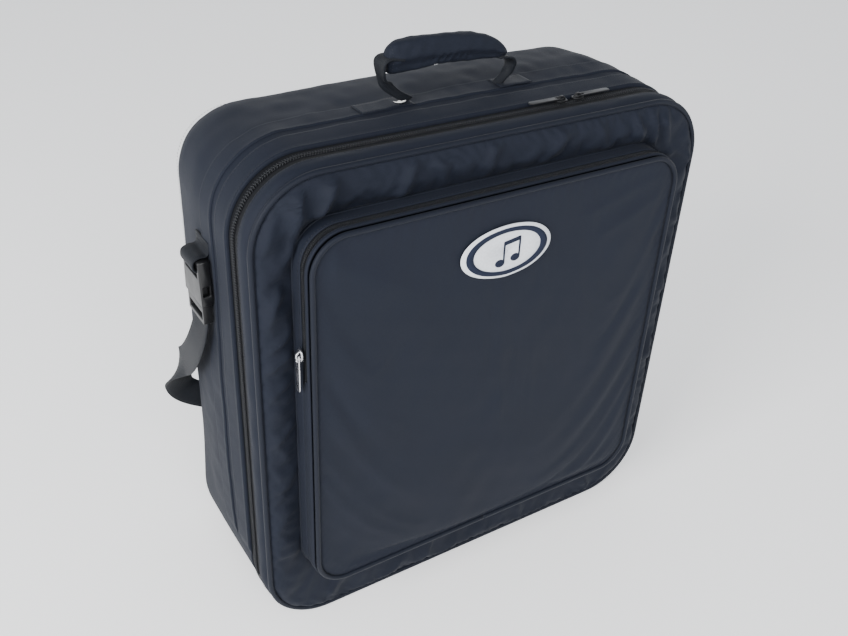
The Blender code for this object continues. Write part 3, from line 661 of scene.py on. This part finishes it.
# ---- lid ----
# Folds of the cloth between the lid's edge and the pocket: ends (x, z), width and height.
LID_FOLDS = (
    ((-0.235, 0.450), (-0.227, 0.475), 0.0050, 0.0035),
    ((-0.239, 0.379), (-0.224, 0.404), 0.0050, 0.0040),
    ((-0.214, 0.363), (-0.234, 0.352), 0.0045, 0.0030),
    ((-0.216, 0.342), (-0.238, 0.332), 0.0045, 0.0030),
    ((-0.218, 0.311), (-0.240, 0.302), 0.0045, 0.0030),
    ((-0.217, 0.262), (-0.240, 0.246), 0.0050, 0.0024),
    ((-0.203, 0.492), (-0.210, 0.440), 0.0060, 0.0060),
    ((-0.171, 0.496), (-0.184, 0.472), 0.0055, 0.0050),
    ((-0.108, 0.470), (-0.097, 0.492), 0.0060, 0.0035),
    ((-0.068, 0.492), (-0.060, 0.468), 0.0065, 0.0030),
    ((-0.020, 0.470), (-0.014, 0.492), 0.0060, 0.0025),
    ((0.048, 0.472), (0.062, 0.494), 0.0070, 0.0025),
    ((0.108, 0.494), (0.120, 0.470), 0.0060, 0.0030),
    ((0.153, 0.500), (0.163, 0.462), 0.0050, 0.0055),
    ((0.176, 0.496), (0.184, 0.458), 0.0045, 0.0045),
    ((0.192, 0.488), (0.206, 0.452), 0.0050, 0.0060),
    ((0.214, 0.456), (0.236, 0.440), 0.0060, 0.0045),
    ((0.208, 0.380), (0.238, 0.366), 0.0070, 0.0030),
    ((0.206, 0.300), (0.238, 0.282), 0.0070, 0.0025),
    ((0.204, 0.210), (0.238, 0.196), 0.0080, 0.0030),
    ((0.150, 0.058), (0.172, 0.020), 0.0070, 0.0030),
    ((0.060, 0.060), (0.070, 0.020), 0.0080, 0.0025),
    ((-0.050, 0.060), (-0.060, 0.020), 0.0080, 0.0025),
    ((-0.150, 0.058), (-0.176, 0.026), 0.0070, 0.0030),
)


def lid_front():
    edge = PIPING_INSET + PIPING * 0.6
    x, z = BAG.panel(edge, 0.0035)
    to_edge = np.maximum(BAG.depth(x, z) - edge, 0)
    to_pocket = np.maximum(-POCKET.depth(x, z), 0)
    share = to_edge / (to_edge + to_pocket + 1e-6)
    crown = 0.0064 * np.sin(math.pi * np.clip(share, 0, 1) ** 0.75) ** 0.9
    folds = sum(fold(x, z, *each) for each in LID_FOLDS)
    loose = smooth(0, 0.010, to_edge) * smooth(0, 0.006, to_pocket)
    uneven = 0.0014 * ripple(x, z, 0.045, 7) + 0.0006 * ripple(x, z, 0.018, 8)
    pucker = 0.0006 * np.sin(2 * math.pi * (x + 0.7 * z) / 0.011 + 2 * ripple(x, z, 0.05, 9))
    pucker = pucker * np.exp(-to_edge / 0.008)
    y = FRONT + 0.0012 - crown - (folds * 1.25 + uneven) * loose - pucker * smooth(0, 0.003, to_edge)
    cloth = surface("lid_front", grid(x, y, z), grid(x, z))
    sewn = (to_edge < 0.002) | (POCKET.depth(x, z) > -0.004)
    settle(cloth, sewn.ravel(), slack=0.022, reach=0.0045, pressure=1.5)
    attach(cloth, "shell", bend=LID_BEND, stands_for=("lid_skin", "lid_foam", "skirt_panel"))

    piping(BAG, "front_piping_cord", PIPING_INSET, FRONT + 0.0005, PIPING, bend=LID_BEND,
           stands_for=("lid_piping", "skirt_piping"))


def front_wall():
    """Strip between the lid's piping and the zip; under the zip's ends it joins the wall."""
    s = samples(0, BAG.length, 0.004)[:, None]
    height = BAG.at(s)[0][..., 1]
    rear = ZIP_Y - TAPE_HALF + 2 * TAPE_HALF * (1 - smooth(LID_HINGE.z - 0.006, LID_HINGE.z, height))
    front = FRONT + 0.0005 + PIPING * 0.8
    share = np.array([0, 0.10, 0.25, 0.45, 0.65, 0.82, 0.94, 1.0, 1.0])[None]
    out = np.array([-0.0036, -0.0026, -0.0004, 0.0010, 0.0012, 0.0010, 0.0008, 0.0002, -0.0012])
    y = front + (rear - front) * share
    ease = smooth(0.010, 0.060, height)
    wrinkle = 0.0004 * ripple(s, y, 0.03, 11) * ease * np.sin(math.pi * share)
    out = np.where(out > 0, out[None] * (0.15 + 0.85 * ease), out[None]) + wrinkle
    wall = surface("front_wall", BAG.lift(s, y, out), grid(s, y))
    attach(wall, "shell", bend=LID_BEND,
           stands_for=("lid_gusset", "lid_gusset_foam", "skirt_corner_left", "skirt_corner_right"))
    line = samples(ZIP_START + 0.006, ZIP_END - 0.006, 0.004)
    path = BAG.lift(line, ZIP_Y - TAPE_HALF - 0.0022, 0.0011)
    stitches("front_wall_stitching", path, BAG.outward(line), bend=LID_BEND)


def linings():
    """Quilted lining of the body and of the lid, and the taped edges that meet at the zip."""
    s = samples(0, BAG.length, 0.006)[:, None]
    turns = np.linspace(0, math.pi / 2, 8)[1:]
    y = samples(ZIP_Y + 0.0012, BACK - 0.034, 0.006)
    inset = np.concatenate([np.full(len(y), LINING_IN), LINING_IN + 0.014 * (1 - np.cos(turns))])
    y = np.concatenate([y, BACK - 0.034 + (0.034 - LINING_IN) * np.sin(turns)])
    swell = 0.0008 * np.sin(math.pi * y / 0.030) ** 2
    points = BAG.lift(s, y[None], -inset[None] - swell[None])
    wall = surface("case_lining_wall", points, grid(s, y[None]))
    attach(wall, "lining", "case", stands_for=("gusset_lining", "base_lining"))

    for name, y_at, edge, bend, body, node_name, sign in (
            ("case_lining_back", BACK - LINING_IN, LINING_IN + 0.0140, None, "case", "back_lining", -1),
            ("lid_lining_panel", FRONT + LINING_IN, LINING_IN, LID_BEND, None, "lid_lining", 1)):
        x, z = BAG.panel(edge, 0.006)
        inside = BAG.depth(x, z) - edge
        quilt = np.abs(np.sin(math.pi * (x + z) / 0.085) * np.sin(math.pi * (x - z) / 0.085)) ** 0.5
        y = y_at + sign * 0.0022 * quilt * smooth(0, 0.02, inside)
        panel = surface(name, grid(x, y, z), grid(x, z))
        attach(panel, "lining", body, bend, stands_for=(node_name,))

    y = samples(FRONT + LINING_IN, ZIP_Y - 0.0012, 0.004)[None]
    lid_wall = surface("lid_lining_wall", BAG.lift(s, y, -LINING_IN), grid(s, y))
    attach(lid_wall, "lining", bend=LID_BEND)

    run = samples(ZIP_START, ZIP_END, 0.005)[:, None]
    share = np.linspace(0, 1, 6)[None]
    for name, side, body in (("case_binding", 1, "case"), ("lid_binding", -1, "lid")):
        y = ZIP_Y + side * (0.0012 - 0.0006 * np.sin(math.pi * share))
        out = -0.0012 - (LINING_IN - 0.0012) * share
        edge = surface(name, BAG.lift(run, y, out), grid(run, -out))
        attach(edge, "tape", body)


# ---- pocket ----
# Creases of the pocket's front: ends (x, z), width and height.
POCKET_FOLDS = (
    ((0.090, 0.424), (0.185, 0.447), 0.0080, 0.0020),
    ((0.110, 0.398), (0.184, 0.425), 0.0090, 0.0018),
    ((0.060, 0.446), (0.130, 0.456), 0.0060, 0.0012),
    ((-0.012, 0.368), (0.000, 0.225), 0.0110, 0.0018),
    ((-0.195, 0.440), (-0.120, 0.400), 0.0120, 0.0012),
    ((-0.190, 0.180), (-0.110, 0.090), 0.0160, 0.0014),
    ((0.120, 0.090), (0.185, 0.150), 0.0140, 0.0014),
)


def pocket_walls():
    """The pocket's sides: a rear strip, and a front strip that parts from it along the zip."""
    s = samples(0, POCKET.length, 0.004)[:, None]
    height = POCKET.at(s)[0][..., 1]
    opened = smooth(FLAP_HINGE.z - 0.004, FLAP_HINGE.z + 0.002, height)
    share = np.array([0, 0, 0.12, 0.35, 0.65, 0.88, 1, 1])[None]
    out = np.array([-0.0012, 0, 0.0006, 0.0009, 0.0009, 0.0006, 0, -0.0012])[None]
    front = POCKET_FRONT + 0.0045
    rear = POCKET_ZIP_Y + POCKET_TAPE_HALF
    y = front + (rear - 2 * POCKET_TAPE_HALF * opened - front) * share
    strip = surface("pocket_front_wall", POCKET.lift(s, y, out), grid(s, y))
    thicken(strip, 0.0010)
    attach(strip, "shell", bend=FLAP_BEND, stands_for=("pocket_flap_gusset",))

    y = rear + (FRONT + 0.0014 - rear) * share
    base = 0.0016 * smooth(0.6, 1.0, share)
    strip = surface("pocket_rear_wall", POCKET.lift(s, y, out + base), grid(s, y))
    thicken(strip, 0.0010)
    attach(strip, "shell", "lid", stands_for=("pocket_rear_gusset", "pocket_lower_gusset"))
    piping(POCKET, "pocket_foot_cord", -0.0012, FRONT - 0.0016, 0.0011, "lid")

    line = samples(FLAP_START + 0.004, FLAP_END - 0.004, 0.004)
    for name, at, body in (("pocket_rear_stitching", POCKET_TAPE_HALF + 0.0016, "lid"),
                           ("pocket_front_stitching", -POCKET_TAPE_HALF - 0.0016, "pocket_flap")):
        stitches(name, POCKET.lift(line, POCKET_ZIP_Y + at, 0.0010), POCKET.outward(line), body)


def pocket_height(x, z):
    """How far the pocket's front stands out from its edge."""
    inside = np.maximum(POCKET.depth(x, z) - 0.005, 0)
    swell = 0.0042 * (1 - np.exp(-inside / 0.035))
    folds = sum(fold(x, z, *each) for each in POCKET_FOLDS)
    uneven = 0.0011 * ripple(x, z, 0.12, 12) + 0.0004 * ripple(x, z, 0.035, 13)
    pucker = 0.0005 * np.sin(2 * math.pi * (x - z) / 0.012 + 2 * ripple(x, z, 0.05, 14))
    return (swell + (folds + uneven) * smooth(0, 0.02, inside)
            + pucker * np.exp(-inside / 0.009) * smooth(0, 0.003, inside))


def pocket_front():
    x, z = POCKET.panel(0.0052, 0.0035)
    y = POCKET_FRONT + 0.0012 - pocket_height(x, z)
    cloth = surface("pocket_front", grid(x, y, z), grid(x, z))
    settle(cloth, (POCKET.depth(x, z) < 0.008).ravel(), slack=0.004, reach=0.0022, pressure=0.4)
    thicken(cloth, 0.0022)
    attach(cloth, "shell", bend=FLAP_BEND, stands_for=("pocket_flap_panel", "pocket_lower_panel"))
    piping(POCKET, "pocket_piping_cord", 0.0030, POCKET_FRONT + 0.0008, 0.0025, bend=FLAP_BEND,
           stands_for=("pocket_flap_piping", "pocket_lower_piping"))


def badge():
    """Woven oval patch: white, with a navy ring and a plain music note."""
    low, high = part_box("badge")
    middle_x, middle_z = (low[0] + high[0]) / 2, (low[2] + high[2]) / 2
    wide, tall = (high[0] - low[0]) / 2, (high[2] - low[2]) / 2

    def raised(name, outline_in, outline_out, proud, material, stands_for=()):
        """Flat shape between two outlines, following the pocket's swell."""
        share = np.array([0.0, 0.02, 0.5, 0.98, 1.0])[:, None, None]
        lift = np.array([0.0, proud, proud, proud, 0.0])[:, None]
        flat = outline_in[None] * (1 - share) + outline_out[None] * share
        x, z = middle_x + flat[..., 0], middle_z + flat[..., 1]
        y = POCKET_FRONT + 0.0012 - pocket_height(x, z) - 0.0002 - lift
        points = grid(x, y, z)
        points = np.concatenate([points, points[:, :1]], axis=1)
        piece = surface(name, points, grid(points[..., 0], points[..., 2]))
        attach(piece, material, "pocket_flap", stands_for=stands_for)

    def ellipse(scale, count=64):
        turns = np.arange(count) * 2 * math.pi / count
        return np.stack([wide * scale * np.cos(turns), tall * scale * np.sin(turns)], -1)

    raised("badge_patch", ellipse(0.01), ellipse(1.0), 0.0010, "badge", ("badge",))
    raised("badge_ring", ellipse(0.74), ellipse(0.90), 0.0014, "badge_navy")
    turns = np.arange(32) * 2 * math.pi / 32
    head = np.stack([0.0052 * np.cos(turns), 0.0038 * np.sin(turns)], -1)
    for name, at in (("badge_note_head_left", (-0.0085, -0.0105)),
                     ("badge_note_head_right", (0.0085, -0.0080))):
        raised(name, head * 0.02 + at, head + at, 0.0014, "badge_navy")
    for name, start, end, thick in (
            ("badge_note_stem_left", (-0.0042, -0.0100), (-0.0042, 0.0100), 0.0009),
            ("badge_note_stem_right", (0.0128, -0.0075), (0.0128, 0.0125), 0.0009),
            ("badge_note_beam", (-0.0042, 0.0085), (0.0128, 0.0110), 0.0020)):
        start, end = np.array(start), np.array(end)
        along = unit(end - start)
        side = np.array([-along[1], along[0]]) * thick
        centre = samples(0, 1, 0.1)[:, None] * (end - start)[None] + start
        outline = np.concatenate([centre - side, (centre + side)[::-1]])
        inner = np.concatenate([centre, centre[::-1]])
        raised(name, inner, outline, 0.0014, "badge_navy")


# ---- handle ----
# The wrap from end to end: x, then its foot and its top above the middle of the grip.
GRIP_SECTIONS = (
    (-0.0735, -0.0080, 0.0030), (-0.0718, -0.0130, 0.0090), (-0.0640, -0.0140, 0.0138),
    (-0.0490, -0.0134, 0.0160), (-0.0330, -0.0124, 0.0158), (-0.0120, -0.0118, 0.0150),
    (0.0100, -0.0124, 0.0136), (0.0260, -0.0130, 0.0108), (0.0380, -0.0142, 0.0070),
    (0.0480, -0.0145, 0.0010), (0.0535, -0.0138, -0.0040), (0.0560, -0.0115, -0.0075),
)


def grip():
    """Padded wrap folded over the webbing: a domed upper face, a front flap and pinched sewn ends."""
    low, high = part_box("grip_wrap")
    middle_y, middle_z = (low[1] + high[1]) / 2, (low[2] + high[2]) / 2
    sections = spline(GRIP_SECTIONS, 100)
    x, foot, top = (sections[:, [column]] for column in range(3))
    turns = (np.arange(60) * 2 * math.pi / 60)[None]
    up, out = np.sin(turns), -np.cos(turns)
    to_end = np.minimum(x - x[0], x[-1] - x)
    closing = np.clip(to_end / 0.008, 0, 1) ** 0.5
    half_z = (top - foot) / 2
    centre_z = middle_z + (top + foot) / 2
    half_y = 0.0092 * (0.45 + 0.55 * closing) * (1 + 0.05 * ripple(x, turns * 0.02, 0.04, 21))
    front = out < 0
    crest = 0.0016 * np.exp(-((up + 0.02) / 0.18) ** 2) * front
    under = -0.0014 * np.exp(-((up + 0.40) / 0.26) ** 2) * front
    pleats = 0.0026 * np.sin(2 * math.pi * (x - 0.5 * half_z * up) / 0.0078)
    pleats = pleats * np.exp(-((up + 0.42) / 0.26) ** 2 - ((x + 0.012) / 0.018) ** 2) * front
    wrinkle = 0.0005 * ripple(x, turns * 0.012, 0.016, 22)
    swell = 1 + (crest + under + pleats + wrinkle) / 0.011 * closing
    y = middle_y + half_y * np.sign(out) * np.abs(out) ** 0.72 * swell
    z = centre_z + half_z * np.sign(up) * np.abs(up) ** 0.80 * (1 + wrinkle / 0.02)
    points = grid(x, y, z)
    wrap = surface("grip_padding", points, grid(x, np.linspace(0, 0.078, 61)[None]), wrap=True)
    attach(wrap, "shell", "handle", stands_for=("grip_wrap",))
    for side, row in (("left", 12), ("right", -13)):
        path = np.concatenate([points[row], points[row][:1]])
        outward = unit(path - points[row].mean(axis=0))
        stitches(f"grip_stitching_{side}", path, outward, "handle", pitch=0.0030)


def top_at(x, y):
    """Height of the crowned top wall."""
    s = BAG.length / 2 + np.asarray(x)
    return TOP + wall_crown(s, np.asarray(y))


ROOT_X = 0.0480                      # the loops leave the top wall here, out from the bag's middle
# Webbing loops from the sewn roots into the grip: outwards from the bag's middle, and upwards.
LOOP_ROUTES = {
    "left": ((ROOT_X, -0.0008), (0.0525, 0.0016), (0.0600, 0.0060), (0.0690, 0.0130), (0.0765, 0.0220),
             (0.0790, 0.0310), (0.0785, 0.0385), (0.0720, 0.0410), (0.0600, 0.0390)),
    "right": ((ROOT_X, -0.0008), (0.0515, 0.0016), (0.0560, 0.0055), (0.0600, 0.0100),
              (0.0625, 0.0150), (0.0630, 0.0200), (0.0605, 0.0245), (0.0550, 0.0265), (0.0450, 0.0275)),
}


def handle_webbing():
    """Webbing loops from the sewn roots up into the grip, twisting as they rise."""
    y = HANDLE_HINGE.y
    root_z = float(top_at(0.053, y)) + 0.0026
    for side, sign in SIDES:
        path = spline([(sign * out, y - 0.001, root_z + up) for out, up in LOOP_ROUTES[side]], 56)
        t = np.linspace(0, 1, len(path))
        twist = 0.9 * (1 - smooth(0.0, 0.55, t)) * sign
        roll = t * 2.2 - 0.2
        facing = grid(sign * np.cos(roll) * np.cos(twist), np.sin(twist), np.sin(roll) * np.cos(twist))
        width = 0.0085 + 0.0115 * smooth(0.25, 0.75, t)
        web = ribbon(f"handle_loop_{side}", path, facing, width, 0.0020, cup=0.0012)
        attach(web, "webbing", bend=HANDLE_BEND,
               stands_for=("handle_webbing",) if sign < 0 else ())

        low, high = span("handle_anchor_" + side, 0)
        x = samples(*((low - 0.004, -ROOT_X) if sign < 0 else (ROOT_X, high - 0.014)), 0.002)
        path = grid(x, y, top_at(x, y) + 0.0021)
        facing = np.array([0.0, 0.0, 1.0])
        patch = ribbon(f"handle_patch_{side}", path, facing, 0.0230, 0.0013)
        attach(patch, "trim", "case", stands_for=("handle_anchor_" + side,))
        for name, across in (("front", -0.0095), ("rear", 0.0095)):
            line = path + np.array([0, across, 0.0011])
            stitches(f"handle_patch_{side}_stitching_{name}", line, facing, "case", pitch=0.0028)


def care_tag():
    """White folded tag that comes out from under the left root, narrow at its tip."""
    low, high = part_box("care_tag")
    share = samples(0, 1, 0.1)[:, None]
    across = np.linspace(-1, 1, 7)[None]
    x = low[0] - 0.0015 + across * 0.0045 * (1 - 0.75 * share)
    y = high[1] + 0.0035 - 0.0130 * share
    z = top_at(x, y) + 0.0040 + 0.0050 * share ** 2 + 0.0006 * np.sin(across * 4)
    tag = surface("care_label", grid(x, y, z), grid(x, y))
    thicken(tag, 0.0003)
    attach(tag, "tag", "case", stands_for=("care_tag",))


# ---- shoulder strap ----
STRAP_WIDE = 0.0312
STRAP_TURN_Y = 0.060                 # from here on the strap turns to lie flat behind the bag
# The strap's way down from the left buckle: steps from the middle of the buckle's foot.
STRAP_FALL = ((0, 0, 0.0060), (0, 0, -0.0035), (-0.003, 0.004, -0.022), (-0.005, 0.018, -0.048),
              (-0.004, 0.046, -0.078), (-0.002, 0.084, -0.110))
# Its loose ends past the adjusters: out from each, behind the strap, and up.
STRAP_TAIL = ((-0.004, 0.0032, 0.004), (0.018, 0.0036, 0.006), (0.040, 0.0030, 0.011),
              (0.052, 0.0032, 0.015))


def buckles():
    low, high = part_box("buckle_female_left")
    middle_y = (low[1] + high[1]) / 2
    top = high[2]

    def waisted(point):
        """The female half narrows a little towards its bar."""
        narrow = 1 - 0.10 * smooth(top - 0.020, top, point.z)
        return Vector((point.x, middle_y + (point.y - middle_y) * narrow, point.z))

    for side, sign in SIDES:
        cast(f"buckle_socket_{side}", f"buckle_female_{side}", 0.0012, "buckle", "strap_buckles",
             waisted)
        cast(f"buckle_plug_{side}", f"buckle_male_{side}", 0.0009, "buckle", "shoulder_strap")
        middle_x = sum(span(f"buckle_female_{side}", 0)) / 2
        bar_z = top - 0.0035
        skin = sign * (RIGHT + 0.0022)
        route = [(skin, 0.0190), (skin, 0.0110), (skin + sign * 0.0022, 0.0065)]
        route += [(middle_x + sign * out, up) for out, up in (
            (0.0020, 0.0062), (0.0078, 0.0030), (0.0080, -0.0045), (0.0030, -0.0078), (-0.0040, -0.0070))]
        path = spline([(x, middle_y, bar_z + up) for x, up in route], 48)
        facing = np.cross(unit(np.gradient(path, axis=0)), np.array([0.0, -sign, 0.0]))
        tab = ribbon(f"strap_tab_loop_{side}", path, facing, STRAP_WIDE - 0.0012, 0.0017)
        attach(tab, "webbing", "strap_buckles", stands_for=(f"strap_tab_{side}",))
        for name, z in (("upper", bar_z + 0.0165), ("lower", bar_z + 0.0120)):
            line = grid(skin + sign * 0.0010, middle_y + np.linspace(-0.0130, 0.0130, 20), z)
            stitches(f"strap_tab_{side}_stitching_{name}", line, np.array([float(sign), 0.0, 0.0]),
                     "strap_buckles", pitch=0.0028)


def strap():
    low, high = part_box("buckle_male_left")
    x, y, z = (low[0] + high[0]) / 2, (low[1] + high[1]) / 2, low[2]
    pad_low, pad_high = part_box("shoulder_pad")
    rear, low_z = (pad_low[1] + pad_high[1]) / 2, (pad_low[2] + pad_high[2]) / 2
    route = [(x + across, y + back, z + up) for across, back, up in STRAP_FALL]
    route += [(x + 0.007, rear, low_z + 0.048), (x + 0.038, rear, low_z + 0.024),
              (-0.170, rear, low_z + 0.006), (-0.120, rear, low_z), (-0.040, rear, low_z)]
    left = spline(route, 96)
    path = np.concatenate([left, (left * np.array([-1, 1, 1]))[::-1]])
    turn_over = rear - 0.006 - STRAP_TURN_Y
    turned = np.clip((path[:, 1] - STRAP_TURN_Y) / turn_over, 0, 1) * math.pi / 2
    facing = grid(np.sign(path[:, 0]) * np.cos(turned), np.sin(turned), 0.0)
    sway = 0.0012 * ripple(np.arange(len(path)) * 0.01, path[:, 2], 0.15, 31)
    run = lengths(path)
    away_from_end = smooth(0.0, 0.05, np.minimum(run, run[-1] - run))
    web = ribbon("strap_web", path, facing, STRAP_WIDE, 0.0019, cup=sway * away_from_end)
    attach(web, "webbing", "shoulder_strap", stands_for=("strap_webbing",))

    for side, sign in SIDES:
        cast(f"strap_slider_{side}", f"strap_adjuster_{side}", 0.0010, "buckle", "shoulder_strap")
        middle_x = sum(span(f"strap_adjuster_{side}", 0)) / 2
        path = spline([(middle_x + sign * out, rear + behind, low_z + up)
                       for out, behind, up in STRAP_TAIL], 24)
        loose = ribbon(f"strap_tail_{side}", path, np.array([0.0, 1.0, 0.0]), STRAP_WIDE, 0.0017)
        attach(loose, "webbing", "shoulder_strap")


def shoulder_pad():
    low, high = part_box("shoulder_pad")
    middle = [(a + b) / 2 for a, b in zip(low, high)]
    half_x, half_z = (high[0] - low[0]) / 2, (high[2] - low[2]) / 2
    u = np.sin(np.linspace(-math.pi / 2, math.pi / 2, 90))[:, None]
    turns = (np.arange(56) * 2 * math.pi / 56)[None]
    up, out = np.sin(turns), np.cos(turns)
    end = np.clip((1 - np.abs(u)) * half_x / 0.022, 0, 1) ** 0.5
    waist = 1 - 0.06 * (1 - u ** 2)
    z = middle[2] + half_z * waist * (0.66 + 0.34 * end) * np.sign(up) * np.abs(up) ** 0.9
    channel = 1 - 0.40 * np.exp(-((np.abs(up) - 0.80) / 0.05) ** 2)
    puff = 0.0062 * (0.30 + 0.70 * end) * channel
    puff = puff * (1 + 0.08 * ripple(u * half_x, up * half_z, 0.03, 33))
    y = middle[1] + puff * np.sign(out) * np.abs(out) ** 0.45
    x = middle[0] + u * half_x
    points = grid(x, y, z)
    pad = surface("shoulder_padding", points, grid(x, np.linspace(0, 0.13, 57)[None]),
                  wrap=True)
    attach(pad, "shell", "shoulder_strap", stands_for=("shoulder_pad",))


# ---- floor, light and camera ----
def studio():
    floor = bpy.data.meshes.new("floor")
    reach = 6.0
    corners = [(-reach, -reach, 0), (reach, -reach, 0), (reach, reach, 0), (-reach, reach, 0)]
    floor.from_pydata(corners, [], [(0, 1, 2, 3)])
    made, tree, shader = blank_material("pale_floor")
    feed(tree, shader, {"Base Color": (0.93, 0.93, 0.93, 1), "Roughness": 0.9,
                        "Emission Color": (1, 1, 1, 1), "Emission Strength": 0.42})
    floor.materials.append(made)
    add("floor", floor)

    world = bpy.data.worlds.new("studio")
    bpy.context.scene.world = world
    world.use_nodes = True
    tree = world.node_tree
    upward = node(tree, "SeparateXYZ", {0: node(tree, "TexCoord", {}).outputs["Generated"]}).outputs["Z"]
    darker_overhead = maths(tree, 'MULTIPLY_ADD', maths(tree, 'MAXIMUM', upward), -1.15, 1.60)
    feed(tree, tree.nodes["Background"], {"Color": (0.92, 0.95, 1.0, 1), "Strength": darker_overhead})

    for name, at, size, power in (("key", (-2.4, -0.9, 1.5), 1.2, 96.0),
                                  ("fill", (-0.9, -2.4, 1.8), 1.6, 55.0)):
        lamp = bpy.data.lights.new(name, 'AREA')
        lamp.size = size
        lamp.energy = power
        item = add(name, lamp)
        item.location = at
        item.rotation_euler = (Vector((0, 0, 0.25)) - Vector(at)).to_track_quat('-Z', 'Y').to_euler()


# The photo's camera, fitted to the bag's outline: place, view direction, right and focal length (mm).
CAMERA_AT = Vector((-0.4947, -0.7359, 0.8266))
CAMERA_LOOK = Vector((0.4625, 0.7013, -0.5425))
CAMERA_RIGHT = Vector((0.8489, -0.5269, 0.0427))
FOCAL_LENGTH = 40.96


def camera():
    look = CAMERA_LOOK.normalized()
    right = (CAMERA_RIGHT - look * CAMERA_RIGHT.dot(look)).normalized()
    up = right.cross(look)
    turned = Matrix((right, up, -look)).transposed().to_4x4()
    turned.translation = CAMERA_AT
    lens = bpy.data.cameras.new("camera")
    lens.lens = FOCAL_LENGTH
    lens.sensor_width = 36.0
    item = add("camera", lens)
    item.matrix_world = turned
    bpy.context.scene.camera = item


camera()
studio()
case_walls()
case_trim()
front_wall()
lid_front()
linings()
zips()
sliders()
pocket_walls()
pocket_front()
badge()
grip()
handle_webbing()
care_tag()
buckles()
strap()
shoulder_pad()
